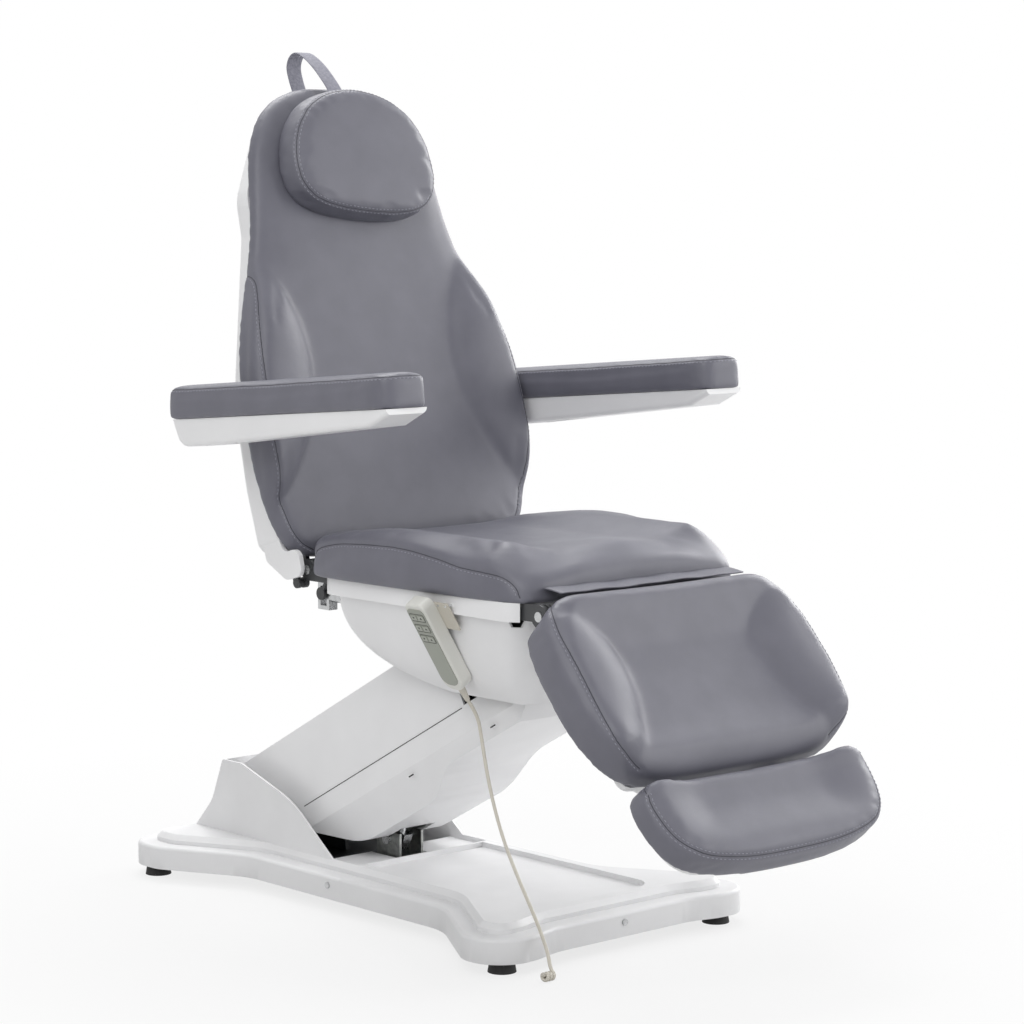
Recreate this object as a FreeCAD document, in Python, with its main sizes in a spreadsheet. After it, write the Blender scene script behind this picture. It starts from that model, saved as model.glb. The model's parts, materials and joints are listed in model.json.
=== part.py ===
"""Electric facial bed: a four-lobed base, a levelled lift arm, and a seat that carries a reclining
back with self-levelling armrests, a head pillow, a leg rest with a sliding foot pad, and a wired
handset.  Millimetres, +Z up, the bed faces -Y, and the plane X = 0 is its plane of symmetry."""
import FreeCAD, Part
import Sketcher
import math
import os
import re

SIZES = {
    # Frame: how far the photograph's zero lies behind the middle of the footprint
    "datum_y": 163,
    # Base: plan of the four lobes, and heights above the floor
    "base_front": 490, "front_notch": 16, "notch_half": 150, "lobe_inner": 205,
    "front_half": 290, "lobe_deep": 82, "waist_half": 192, "waist_front": 250,
    "waist_rear": 270, "rear_half": 275, "rear_lobe": 430, "base_rear": 527,
    "lobe_share": 0.756, "waist_round": 120, "base_bottom": 20, "ledge": 60, "ledge_round": 6,
    "tier_inset": 34, "plateau": 76, "bevel": 9, "cover_wall": 4, "cover_seam": 20,
    "panel_half": 132, "panel_front": 410, "panel_depth": 9, "panel_round": 40,
    "well_front": 122, "notch_gap": 9,
    # Rear housing: side profile of the two cheeks
    "tower_half": 150, "tower_front": 68, "tower_foot": 60, "tower_mid_y": 200, "tower_mid_z": 160,
    "tower_top_front": 345, "tower_top": 206, "tower_top_rear": 400, "tower_waist_y": 432,
    "tower_waist_z": 128, "tower_heel": 496, "tower_brow": 220, "tower_curl": 70,
    # Feet, screws and inlet
    "foot_radius": 23, "foot_x": 240, "foot_front": 446, "foot_rear": 473,
    "screw_radius": 5.5, "screw_head": 2.5, "screw_setback": 29, "screw_height": 44,
    "inlet_x": 120, "inlet_width": 40, "inlet_height": 24, "inlet_depth": 30, "inlet_z": 42,
    "inlet_lip": 2.5, "inlet_rim": 6, "inlet_wall": 5,
    # Chassis: floor plate, outriggers and the two posts that hold the arm
    "chassis_low": 24, "plate": 6, "chassis_half": 150, "chassis_front": 425, "chassis_rear": 480,
    "outrigger_reach": 260, "outrigger_width": 44, "outrigger_height": 22, "boss_x": 252, "boss_radius": 8,
    "post_x": 50, "post_thick": 8, "post_foot": 42, "post_neck": 20,
    # Control box
    "box_half": 88, "box_front": 330, "box_rear": 150, "box_height": 30, "box_round": 8,
    # Lift arm: pivots, depth and covers, along and across the arm
    "arm_y": 335, "arm_z": 131, "arm_angle": 28.3, "arm_length": 700,
    "arm_top": 80, "arm_seam": 43, "arm_crease": 86, "arm_under": 112, "arm_belly": 150,
    "arm_half": 115, "arm_under_half": 82, "arm_wall": 4, "arm_rear": 80,
    "seam_start": 96, "upper_end": 600, "under_start": 258, "belly_start": 201, "belly_end": 420,
    "belly_fade": 495, "belly_lip": 84, "belly_slot": 38,
    "lower_start": 96, "beam_x": 70, "beam_thick": 6, "beam_height": 56, "beam_eye": 30,
    "tie_radius": 14, "tie_front": 585, "tie_rear": 130, "shaft_radius": 12.5, "fit": 0.05,
    # Level link, parallel to the arm
    "link_dy": 12, "link_dz": 52, "link_x": 30, "link_thick": 12, "link_height": 18,
    "link_eye": 12, "link_pin": 7,
    # Lift motor: stands on the bolt of the base bracket and leans forward
    "bolt_y": 87, "bolt_z": 95, "bolt_radius": 6, "lift_lean": 20.8, "lift_x": -2,
    "tube_radius": 20, "rod_radius": 10, "lift_low": 105, "lift_high": 288, "can_radius": 17,
    "can_offset": 36, "can_length": 105, "case_long": 24, "case_lip": 1.5, "lift_rod_top": 250,
    "rod_fit": 0.1,
    "bracket_half": 27, "bracket_long": 62, "bracket_wall": 5, "rod_eye": 9, "slot_play": 2.2,
    "lift_slot": 7, "eye_long": 15, "trunnion_up": 190, "trunnion_radius": 8,
    # Seat
    "seat_half": 250, "seat_front": 505, "seat_rear": 26, "seat_low": 583, "seat_high": 645,
    "seat_corner": 70, "seat_bolster": 20, "bolster_width": 95, "pad_edge": 24,
    "pan_half": 245, "pan_front": 490, "pan_rear": 8, "pan_band": 30, "pan_step": 12,
    "pan_mid": 500, "mid_half": 212, "mid_front": 452, "mid_rear": 10, "pan_low": 402,
    "keel_half": 140, "keel_front": 398, "keel_rear": 185, "pan_corner": 45, "arm_gap": 10,
    "slot_top": 476, "rail_width": 22,
    # Back hinge and leg hinge, and the lugs of the seat frame that hold them
    "back_y": 55, "back_z": 585, "leg_y": 515, "leg_z": 565, "pin_radius": 8, "pin_in": 198,
    "pin_out": 228, "hinge_in": 206, "hinge_thick": 8, "lug_in": 218, "lug_thick": 8,
    "lug_radius": 18, "torque_radius": 14, "lever": 60, "lever_thick": 6, "lever_gap": 10,
    "lever_pin": 6, "motor_x": 155, "back_lever": 36, "leg_lever": 20,
    "back_tube_front": 230, "back_tube_rear": 12, "leg_tube_front": 436, "leg_tube_rear": 226,
    "back_rod_tail": 110, "leg_rod_tail": 330, "back_drop": 53, "leg_drop": 56,
    "back_slot": 8.5, "leg_slot": 5.5,
    # Back
    "back_angle": 74.6, "back_behind": 14, "back_front": 22, "back_bolster": 56,
    "back_foot": 17, "back_foot_half": 240, "back_wide": 291, "back_wide_at": 150,
    "back_hip": 300, "back_shoulder": 225, "back_shoulder_at": 585, "back_top": 828,
    "back_crown": 150, "back_crown_at": 790, "back_round": 70, "back_corner": 80,
    "bolster_foot": 70, "bolster_top": 500, "back_bolster_wide": 85, "board": 6, "board_inset": 62,
    "shell_inset": 20, "shell_foot": 36, "shell_depth": 92, "shell_head": 54,
    "shell_foot_half": 262, "shell_corner": 30, "shell_wall": 4, "shell_round": 26,
    "cheek_low": 12, "cheek_step": 34, "cheek_high": 84, "cheek_front": 30, "cheek_rear": 60,
    "cheek_round": 16,
    # Armrests: pivot, pad and tray
    "rest_y": 158, "rest_z": 825, "rest_tilt": 4.8, "rest_x": 350, "rest_half": 47.5,
    "rest_front": 520, "rest_rear": 57, "rest_low": 15, "rest_thick": 48, "rest_corner": 26,
    "rest_edge": 10, "tray_half": 41, "tray_deep": 31, "tray_nose": 12, "tray_front": 511,
    "tray_back": 50, "tray_chin": 466, "tray_heel": 30, "groove_half": 26, "groove_deep": 5,
    "groove_front": 430, "groove_rear": 40, "tray_edge": 9,
    "rest_shaft": 11, "crank_in": 242, "crank_thick": 6, "bracket_x": 250, "bracket_wide": 8,
    "lever_dy": 13, "lever_dz": 22.5, "stud_radius": 5, "rest_link_in": 232, "rest_link_thick": 8,
    "rest_link_height": 13, "rest_link_eye": 9,
    # Pillow and its strap
    "pillow_half": 146, "pillow_low": 590, "pillow_high": 836, "pillow_waist": 655,
    "pillow_foot": 118, "pillow_brow": 78, "pillow_thick": 52, "pillow_gap": 0.4,
    "pillow_round": 62, "pillow_edge": 14, "strap_width": 30, "strap_thick": 3, "strap_top": 917,
    "strap_lift": 3, "strap_reach": 36, "strap_tail": 40, "strap_slope": 3,
    # Leg rest
    "leg_angle": 50, "leg_near": 3, "leg_far": 316, "leg_behind": 16, "leg_front": 30,
    "leg_bolster": 68, "leg_half": 283, "leg_taper": 25, "hinge_clear": 22, "leg_wide_at": 110,
    "leg_corner": 62, "leg_bolster_wide": 80, "leg_wing_inset": 27, "leg_plate_near": 34,
    "leg_plate_far": 292, "leg_shell_half": 240, "leg_shell_near": 58, "leg_shell_far": 302,
    "leg_shell_depth": 56, "leg_shell_round": 18, "guide_x": 120, "guide_half": 15,
    "guide_near": 74, "guide_far": 286, "guide_drop": 37, "slide_radius": 10,
    # Foot pad
    "foot_near": 323, "foot_far": 484, "foot_behind": 8, "foot_thick": 56, "foot_half": 248,
    "foot_corner": 90, "foot_edge": 18, "foot_shell_half": 222, "foot_shell_near": 332,
    "foot_shell_far": 462, "foot_shell_thick": 14, "boss_far": 400, "slide_near": 120,
    # Handset on the left of the seat pan
    "set_x": 175, "set_y": 286, "set_z": 432, "set_tilt": 32, "set_length": 172, "set_half": 24,
    "set_thick": 24, "set_corner": 12, "set_chin": 20, "set_edge": 4, "face_half": 19.5, "face_low": 12,
    "face_high": 164, "face_thick": 1.2, "face_corner": 9, "face_chin": 16, "key_width": 13, "key_height": 10,
    "key_gap": 17, "key_top": 148, "key_pitch": 21, "key_rise": 1, "key_depth": 3.2,
    "key_clear": 0.3, "key_well": 4.2,
    "hanger_front": 54, "hanger_rear": 8, "hanger_low": 110, "hanger_high": 162,
    "hanger_thick": 3, "clip_radius": 2.5, "clip_pitch": 17, "clip_first": 30, "clip_z": 566,
    "relief_length": 28, "relief_wide": 6.5, "relief_tip": 4.2,
    # Handset cord
    "cord_radius": 3, "curl_radius": 8, "curl_length": 34,
    # Flap between seat and leg pad
    "flap_half": 214, "flap_thick": 5, "flap_gap": 0.3, "flap_high": 604,
}

doc = FreeCAD.newDocument("facial_bed")
sheet = doc.addObject("Spreadsheet::Sheet", "Sizes")
for row, (alias, value) in enumerate(SIZES.items(), start=1):
    sheet.set("A%d" % row, str(value))
    sheet.setAlias("A%d" % row, alias)
doc.recompute()

FUNCTIONS = ("sin", "cos", "tan", "atan2")
X_AXIS = FreeCAD.Vector(1, 0, 0)
Y_AXIS = FreeCAD.Vector(0, 1, 0)
Z_AXIS = FreeCAD.Vector(0, 0, 1)
NEAR = 0.01
pieces = []


def cell(text):
    """An expression in which each plain word is a cell of the sheet."""
    def word(match):
        name = match.group()
        return name if name in FUNCTIONS else "Sizes." + name
    return re.sub(r"[a-z]\w*", word, text)


def size(name):
    """The present value of one cell."""
    return float(sheet.get(name))


def bind(thing, **properties):
    """Bind properties of an object to expressions on the sheet."""
    for name, text in properties.items():
        thing.setExpression(name.replace("__", "."), cell(text))
    return thing


def negative(text):
    return "-(%s)" % text


def block(x, y, z):
    """A box between two expressions on each axis."""
    box = doc.addObject("Part::Box", "block")
    bind(box, Length="(%s) - (%s)" % (x[1], x[0]), Width="(%s) - (%s)" % (y[1], y[0]),
         Height="(%s) - (%s)" % (z[1], z[0]))
    return bind(box, Placement__Base__x=x[0], Placement__Base__y=y[0], Placement__Base__z=z[0])


def bar(axis, radius, start, end, u, v):
    """A round bar along one axis, from start to end, at u and v on the other two."""
    cylinder = doc.addObject("Part::Cylinder", "bar")
    bind(cylinder, Radius=radius, Height="(%s) - (%s)" % (end, start))
    turn = {"x": FreeCAD.Rotation(Y_AXIS, 90), "y": FreeCAD.Rotation(X_AXIS, -90),
            "z": FreeCAD.Rotation()}[axis]
    cylinder.Placement = FreeCAD.Placement(FreeCAD.Vector(), turn)
    others = [name for name in "xyz" if name != axis]
    spot = {axis: start, others[0]: u, others[1]: v}
    for name, text in spot.items():
        cylinder.setExpression("Placement.Base." + name, cell(text))
    return cylinder


def both(make, inner, outer):
    """The same piece on the right (+X) and the left (-X), given its inner and outer X."""
    return [make((inner, outer)), make((negative(outer), negative(inner)))]


def joined(parts):
    """Several pieces as one; a single piece is wrapped, so that it can be placed."""
    if len(parts) == 1:
        wrapped = doc.addObject("Part::Compound", "wrapped")
        wrapped.Links = parts
        return wrapped
    fused = doc.addObject("Part::MultiFuse", "joined")
    fused.Shapes = parts
    return fused


def carved(base, tools):
    cut = doc.addObject("Part::Cut", "carved")
    cut.Base = base
    cut.Tool = tools[0] if len(tools) == 1 else joined(tools)
    return cut


def origin_plane(body, role):
    return [part for part in body.Origin.OriginFeatures if part.Role == role][0]


def outline(body, role, corners, offset):
    """A closed sketch of straight runs, each corner held by two expressions."""
    sketch = body.newObject("Sketcher::SketchObject", "outline")
    sketch.AttachmentSupport = (origin_plane(body, role), [""])
    sketch.MapMode = "FlatFace"
    bind(sketch, AttachmentOffset__Base__z=offset)
    count = len(corners)
    ring = [FreeCAD.Vector(math.cos(2 * math.pi * k / count), math.sin(2 * math.pi * k / count), 0)
            for k in range(count)]
    for k in range(count):
        sketch.addGeometry(Part.LineSegment(ring[k], ring[(k + 1) % count]))
    for k in range(count):
        sketch.addConstraint(Sketcher.Constraint("Coincident", k, 2, (k + 1) % count, 1))
    for k, (across, up) in enumerate(corners):
        for kind, start, text in (("DistanceX", ring[k].x, across), ("DistanceY", ring[k].y, up)):
            place = sketch.addConstraint(Sketcher.Constraint(kind, -1, 1, k, 1, start))
            sketch.setExpression("Constraints[%d]" % place, cell(text))
    return sketch


def prism(role, corners, low, high):
    """A body whose outline on an origin plane is padded from low to high."""
    body = doc.addObject("PartDesign::Body", "body")
    pad = body.newObject("PartDesign::Pad", "pad")
    pad.Profile = outline(body, role, corners, low)
    bind(pad, Length="(%s) - (%s)" % (high, low))
    body.Tip = pad
    return body


def hollow(body, role, corners, low, high):
    """Remove an outline from low to high."""
    pocket = body.newObject("PartDesign::Pocket", "pocket")
    pocket.Profile = outline(body, role, corners, low)
    pocket.Reversed = True
    bind(pocket, Length="(%s) - (%s)" % (high, low))
    body.Tip = pocket
    return body


def dressed(body, kind, edges, **properties):
    """A fillet or chamfer over the edges of the tip that pass a test."""
    doc.recompute()
    tip = body.Tip
    names = ["Edge%d" % n for n, edge in enumerate(tip.Shape.Edges, start=1) if edges(edge)]
    feature = body.newObject("PartDesign::" + kind, kind.lower())
    feature.Base = (tip, names)
    bind(feature, **properties)
    body.Tip = feature
    return body


def rounded(body, radius, edges):
    return dressed(body, "Fillet", edges, Radius=radius)


def runs_along(axis, spots=None):
    """Straight edges along an axis, near one of the spots if any are given."""
    def test(edge):
        if edge.Curve.TypeId != "Part::GeomLine":
            return False
        if abs(edge.Curve.Direction.dot(axis)) < 1 - 1e-6:
            return False
        if spots is None:
            return True
        here = edge.CenterOfMass
        flat = here - axis * here.dot(axis)
        return any((flat - spot).Length < 1 for spot in spots)
    return test


def lies_at(axis, level):
    """Edges that lie in the plane across an axis at a level."""
    def test(edge):
        points = edge.discretize(5)
        return all(abs(point.dot(axis) - level) < NEAR for point in points)
    return test


def named(label, thing, y="0", z="0", x="0", axis=X_AXIS, angle=None):
    """Give a sub-part its name and its place in the frame."""
    thing.Label = label
    if angle is not None:
        thing.Placement = FreeCAD.Placement(FreeCAD.Vector(), FreeCAD.Rotation(axis, 1))
        bind(thing, Placement__Rotation__Angle=angle)
    bind(thing, Placement__Base__x=x, Placement__Base__y="datum_y + " + y, Placement__Base__z=z)
    pieces.append(thing)
    return thing


def symmetric(half):
    """Close a right half outline, from front to rear, with its mirror image."""
    return half + [(negative(across), along) for across, along in reversed(half)]


# Base covers

def base_block(inset, low, high):
    """The four-lobed foot: straight runs with rounded lobes and a waist."""
    front, side = "(%s) - base_front" % inset, "front_half - (%s)" % inset
    rear_side, waist = "rear_half - (%s)" % inset, "waist_half - (%s)" % inset
    half = [("notch_half", front + " + front_notch"), ("lobe_inner", front), (side, front),
            (side, "lobe_deep - base_front"), (waist, "-waist_front"), (waist, "waist_rear"),
            (rear_side, "rear_lobe"), (rear_side, "base_rear - (%s)" % inset)]
    body = prism("XY_Plane", symmetric(half), low, high)
    doc.recompute()
    inset_now = sum(size(name) for name in re.findall(r"[a-z]\w*", inset))
    wide = {"front": size("front_half") - inset_now, "rear": size("rear_half") - inset_now}
    lobes = [FreeCAD.Vector(sign * wide[end], along, 0) for sign in (1, -1) for end, along in
             (("front", inset_now - size("base_front")), ("front", size("lobe_deep") - size("base_front")),
              ("rear", size("rear_lobe")), ("rear", size("base_rear") - inset_now))]
    rounded(body, "lobe_deep * lobe_share - (%s)" % inset, runs_along(Z_AXIS, lobes))
    rounded(body, "waist_round", runs_along(Z_AXIS, None))
    doc.recompute()
    return body


def base_form():
    """Skirt with a rounded ledge, a bevelled tier on it, and the hollow under both."""
    skirt = base_block("0", "base_bottom", "ledge")
    rounded(skirt, "ledge_round", lies_at(Z_AXIS, size("ledge")))
    tier = base_block("tier_inset", "ledge - cover_wall", "plateau")
    dressed(tier, "Chamfer", lies_at(Z_AXIS, size("plateau")), Size="bevel")
    hollows = [base_block("cover_wall", "base_bottom - 1", "ledge - cover_wall"),
               base_block("tier_inset + cover_wall", "base_bottom - 1", "plateau - cover_wall - panel_depth")]
    return carved(joined([skirt, tier]), hollows)


def tower():
    """Side profile of the rear housing: a swept brow in front, a curled heel behind."""
    profile = [("tower_front", "tower_foot"), ("tower_mid_y", "tower_mid_z"),
               ("tower_top_front", "tower_top"), ("tower_top_rear", "tower_top"),
               ("tower_waist_y", "tower_waist_z"), ("tower_heel", "tower_foot")]
    body = prism("YZ_Plane", profile, "-tower_half", "tower_half")
    brow = FreeCAD.Vector(0, size("tower_mid_y"), size("tower_mid_z"))
    curl = FreeCAD.Vector(0, size("tower_waist_y"), size("tower_waist_z"))
    rounded(body, "tower_brow", runs_along(X_AXIS, [brow]))
    rounded(body, "tower_curl", runs_along(X_AXIS, [curl]))
    crest = [FreeCAD.Vector(0, size(name), size("tower_top")) for name in
             ("tower_top_front", "tower_top_rear")]
    return rounded(body, "cover_wall * 2", runs_along(X_AXIS, crest))


def base_covers():
    """Front and rear covers meet at a seam; the arm comes out of a well between the rear cheeks."""
    form = base_form()
    beyond = "base_rear * 2"
    deck = "plateau - panel_depth"
    behind = block(("-" + beyond, beyond), ("cover_seam", beyond), ("0", beyond))
    before = block(("-" + beyond, beyond), ("-" + beyond, "cover_seam"), ("0", beyond))
    panel = prism("XY_Plane", rectangle("panel_half", "-panel_front", "cover_seam + panel_round"),
                  deck, "plateau + panel_depth")
    rounded(panel, "panel_round", runs_along(Z_AXIS))
    named("base_front_cover", carved(form, [behind, panel]))
    well = prism("YZ_Plane", [("cover_seam + cover_wall", deck), ("cover_seam + cover_wall", "tower_top * 2"),
                              ("tower_top_rear - cover_wall", "tower_top * 2"),
                              ("tower_top_rear - cover_wall", "tower_top - cover_wall * 3"),
                              ("tower_waist_y - cover_wall", "tower_waist_z"),
                              ("tower_waist_y - cover_wall", "0"), ("well_front", "0"), ("well_front", deck)],
                 "cover_wall - tower_half", "tower_half - cover_wall")
    notch = block(("-bracket_half - notch_gap", "bracket_half + notch_gap"),
                  ("bolt_y - bracket_long / 2 - notch_gap", "well_front + notch_gap"), ("0", "plateau"))
    socket = block(("inlet_x - inlet_width / 2", "inlet_x + inlet_width / 2"),
                   ("base_rear - inlet_depth", beyond),
                   ("inlet_z - inlet_height / 2", "inlet_z + inlet_height / 2"))
    named("base_rear_cover", carved(joined([carved(form, [before]), tower()]), [well, notch, socket]))


def fixings():
    feet = []
    for across in ("foot_x", "-foot_x"):
        for along in ("-foot_front", "foot_rear"):
            foot = doc.addObject("Part::Cone", "foot")
            bind(foot, Radius1="foot_radius", Radius2="foot_radius - cover_wall",
                 Height="chassis_low", Placement__Base__x=across, Placement__Base__y=along)
            feet.append(foot)
    named("rubber_feet", joined(feet))
    side = both(lambda x: bar("x", "screw_radius", x[0], x[1], "cover_seam + screw_setback",
                              "screw_height"), "waist_half", "waist_half + screw_head")
    nose = bar("y", "screw_radius", "front_notch - base_front - screw_head",
               "front_notch - base_front", "0", "screw_height")
    named("cover_screws", joined(side + [nose]))


def power_inlet():
    half, rise = "inlet_width / 2", "inlet_height / 2"
    body = block(("inlet_x - " + half, "inlet_x + " + half), ("base_rear - inlet_depth", "base_rear"),
                 ("inlet_z - " + rise, "inlet_z + " + rise))
    lip = block(("inlet_x - %s - inlet_rim" % half, "inlet_x + %s + inlet_rim" % half),
                ("base_rear", "base_rear + inlet_lip"),
                ("inlet_z - %s - inlet_lip" % rise, "inlet_z + %s + inlet_lip" % rise))
    mouth = block(("inlet_x - %s + inlet_wall" % half, "inlet_x + %s - inlet_wall" % half),
                  ("base_rear - inlet_depth + inlet_wall * 2", "base_rear + inlet_lip * 2"),
                  ("inlet_z - %s + inlet_wall" % rise, "inlet_z + %s - inlet_wall" % rise))
    named("power_inlet", carved(joined([body, lip]), [mouth]))


# Chassis, bracket and control box

def chassis():
    floor = block(("-chassis_half", "chassis_half"), ("-chassis_front", "chassis_rear"),
                  ("chassis_low", "chassis_low + plate"))
    beams = [block(("-outrigger_reach", "outrigger_reach"),
                   (along + " - outrigger_width / 2", along + " + outrigger_width / 2"),
                   ("chassis_low", "chassis_low + outrigger_height"))
             for along in ("-foot_front", "foot_rear")]
    profile = [("arm_y - post_foot", "chassis_low + plate / 2"),
               ("arm_y + post_foot", "chassis_low + plate / 2"),
               ("arm_y + post_neck + link_dy / 2", "arm_z"),
               ("arm_y + link_dy + link_eye", "arm_z + link_dz"),
               ("arm_y + link_dy + link_pin", "arm_z + link_dz + link_eye"),
               ("arm_y + link_dy - link_pin", "arm_z + link_dz + link_eye"),
               ("arm_y + link_dy - link_eye - link_pin", "arm_z + link_dz"),
               ("arm_y - post_neck - link_dy / 2", "arm_z")]
    posts = both(lambda x: prism("YZ_Plane", profile, x[0], x[1]), "post_x - post_thick / 2",
                 "post_x + post_thick / 2")
    pin = bar("x", "link_pin", "-post_x", "post_x", "arm_y + link_dy", "arm_z + link_dz")
    bosses = [bar("z", "boss_radius", "chassis_low", "ledge - cover_wall", across, along)
              for across in ("boss_x", "-boss_x") for along in ("-foot_front", "foot_rear")]
    bore = bar("x", "shaft_radius + fit", "-post_x * 2", "post_x * 2", "arm_y", "arm_z")
    named("base_frame", joined([carved(joined([floor] + beams + posts), [bore]), pin] + bosses))


def lift_anchor():
    low = "chassis_low + plate"
    span = ("bolt_y - bracket_long / 2", "bolt_y + bracket_long / 2")
    sole = block(("-bracket_half", "bracket_half"), span, (low, low + " + bracket_wall"))
    cheeks = both(lambda x: block(x, span, (low, "bolt_z + bolt_radius * 2")),
                  "bracket_half - bracket_wall", "bracket_half")
    bore = bar("x", "bolt_radius + fit", "-bracket_half * 2", "bracket_half * 2", "bolt_y", "bolt_z")
    named("actuator_bracket", carved(joined([sole] + cheeks), [bore]))
    bolt = bar("x", "bolt_radius", "-bracket_half", "bracket_half", "bolt_y", "bolt_z")
    ends = both(lambda x: bar("x", "bolt_radius * 1.6", x[0], x[1], "bolt_y", "bolt_z"),
                "bracket_half", "bracket_half + bolt_radius")
    named("bracket_bolt", joined([bolt] + ends))


def control_box():
    low = "chassis_low + plate"
    case = prism("XY_Plane", [("-box_half", "-box_front"), ("box_half", "-box_front"),
                              ("box_half", "-box_rear"), ("-box_half", "-box_rear")],
                 low, low + " + box_height")
    rounded(case, "box_round", runs_along(Z_AXIS))
    named("control_box", case)


# Lift arm, in the arm's own frame: along -Y from the lower pivot

ARM = dict(y="arm_y", z="arm_z", axis=-X_AXIS, angle="arm_angle")


def arm_beam():
    def plate(x):
        web = block(x, ("-arm_length", "0"), ("-beam_height / 2", "beam_height / 2"))
        eyes = [bar("x", "beam_eye", x[0], x[1], along, "0") for along in ("0", "-arm_length")]
        return joined([web] + eyes)

    plates = both(plate, "beam_x - beam_thick / 2", "beam_x + beam_thick / 2")
    ties = [bar("x", "tie_radius", "-beam_x", "beam_x", along, "0")
            for along in ("-tie_front", "-tie_rear")]
    bores = [bar("x", "shaft_radius + fit", "-beam_x * 2", "beam_x * 2", along, "0")
             for along in ("0", "-arm_length")]
    named("arm_beam", carved(joined(plates + ties), bores), **ARM)
    for label, along in (("arm_shaft", "0"), ("seat_shaft", "-arm_length")):
        shaft = bar("x", "shaft_radius", "fit - arm_half + arm_wall", "arm_half - arm_wall - fit",
                    along, "0")
        named(label, joined([shaft]), **ARM)


def arm_upper_cover():
    """Top half of the arm: side walls, top and a rear end that turns inside the housing."""
    profile = [("-seam_start", "-arm_seam"), ("arm_rear", "0"), ("arm_rear", "arm_top"),
               ("-upper_end", "arm_top"), ("-upper_end", "-arm_seam")]
    body = prism("YZ_Plane", profile, "-arm_half", "arm_half")
    heel = FreeCAD.Vector(0, size("arm_rear"), size("arm_top"))
    rounded(body, "arm_rear - fit", runs_along(X_AXIS, [heel]))
    lining = [("-seam_start * 2", "-arm_top"), ("arm_rear - arm_wall", "-arm_top"),
              ("arm_rear - arm_wall", "arm_top - arm_wall"),
              ("-upper_end * 2", "arm_top - arm_wall"), ("-upper_end * 2", "-arm_top")]
    core = prism("YZ_Plane", lining, "arm_wall - arm_half", "arm_half - arm_wall")
    hollow_heel = FreeCAD.Vector(0, size("arm_rear") - size("arm_wall"),
                                 size("arm_top") - size("arm_wall"))
    rounded(core, "arm_rear - arm_wall", runs_along(X_AXIS, [hollow_heel]))
    named("arm_upper_cover", carved(body, [core]), **ARM)


def arm_lower_cover():
    """Belly of the arm: sides that turn in below a crease, and a nose about the seat pivot."""
    def belly(inset, reach):
        under = "%s - arm_under" % inset
        deep = "%s - arm_belly" % inset
        return [("-lower_start", "-arm_seam + " + reach), ("-lower_start", "%s - belly_lip" % inset),
                ("-belly_start", deep), ("-belly_end", deep), ("-belly_fade", under), ("-arm_length", under),
                ("%s - arm_length - arm_under * cos(40)" % inset, "%s - arm_under * sin(40)" % inset),
                ("%s - arm_length - arm_under * cos(22)" % inset, "-arm_seam + " + reach)]

    def swept(body, inset):
        """Round the three bends of the underside."""
        doc.recompute()
        bends = [FreeCAD.Vector(0, -size(name), inset - size(depth)) for name, depth in
                 (("belly_start", "arm_belly"), ("belly_end", "arm_belly"), ("belly_fade", "arm_under"))]
        return rounded(body, "arm_under", runs_along(X_AXIS, bends))

    body = swept(prism("YZ_Plane", belly("0", "0"), "-arm_half", "arm_half"), 0)
    # The sides turn in from the crease to the flat underside
    slant = [("arm_half", "-arm_crease"), ("arm_half * 2", "-arm_crease"),
             ("arm_half * 2", "-arm_belly * 2"), ("arm_under_half", "-arm_belly * 2"),
             ("arm_under_half", "-arm_belly")]
    wedges = []
    for sign in (1, -1):
        corners = [(across if sign > 0 else negative(across), up) for across, up in slant]
        wedges.append(prism("XZ_Plane", corners, "0", "arm_length * 2"))
    core = swept(prism("YZ_Plane", belly("arm_wall", "arm_seam"), "arm_wall - arm_half",
                       "arm_half - arm_wall"), size("arm_wall"))
    lining = []
    for sign in (1, -1):
        corners = [("(%s - arm_wall)" % across if sign > 0 else negative("%s - arm_wall" % across),
                    up) for across, up in slant]
        lining.append(prism("XZ_Plane", corners, "0", "arm_length * 2"))
    mouth = block(("-belly_slot", "belly_slot"), ("-under_start", "0"), ("-arm_belly * 2", "arm_top"))
    named("arm_lower_cover", carved(carved(body, wedges), [carved(core, lining), mouth]), **ARM)


def level_link():
    """Bar that keeps the seat level: an eye at each end, parallel to the arm."""
    x = ("link_x - link_thick / 2", "link_x + link_thick / 2")
    web = block(x, ("-arm_length", "0"), ("-link_height / 2", "link_height / 2"))
    eyes = [bar("x", "link_eye", x[0], x[1], along, "0") for along in ("0", "-arm_length")]
    bores = [bar("x", "link_pin + fit", "0", "link_x * 2", along, "0")
             for along in ("0", "-arm_length")]
    named("level_link", carved(joined([web] + eyes), bores), y="arm_y + link_dy",
          z="arm_z + link_dz", axis=-X_AXIS, angle="arm_angle")


# Linear motors: a tube with a motor can beside it, and a rod with a slotted eye

def motor(axis, across, up, low, high, can_side, can_first):
    """Tube from low to high along an axis; the motor can and gear case lie at one end of it."""
    tube = bar(axis, "tube_radius", low, high, across, up)
    beside = "%s + can_offset * %d" % (across, can_side)
    can_low, case_low = (low, low) if can_first else (high + " - can_length", high + " - case_long")
    can = bar(axis, "can_radius", can_low, can_low + " + can_length", beside, up)
    wide = ["%s + (tube_radius + case_lip) * %d" % (across, -can_side),
            "%s + (can_radius + case_lip) * %d" % (beside, can_side)]
    wide = wide if can_side > 0 else wide[::-1]
    deep = (up + " - tube_radius - case_lip", up + " + tube_radius + case_lip")
    long = (case_low, case_low + " + case_long")
    case = block(wide, deep, long) if axis == "z" else block(wide, long, deep)
    start, end = (low + " + case_long", high + " + plate") if can_first else (
        low + " - plate", high + " - case_long")
    bore = bar(axis, "rod_radius + rod_fit", start, end, across, up)
    return [tube, can, case], bore


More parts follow.
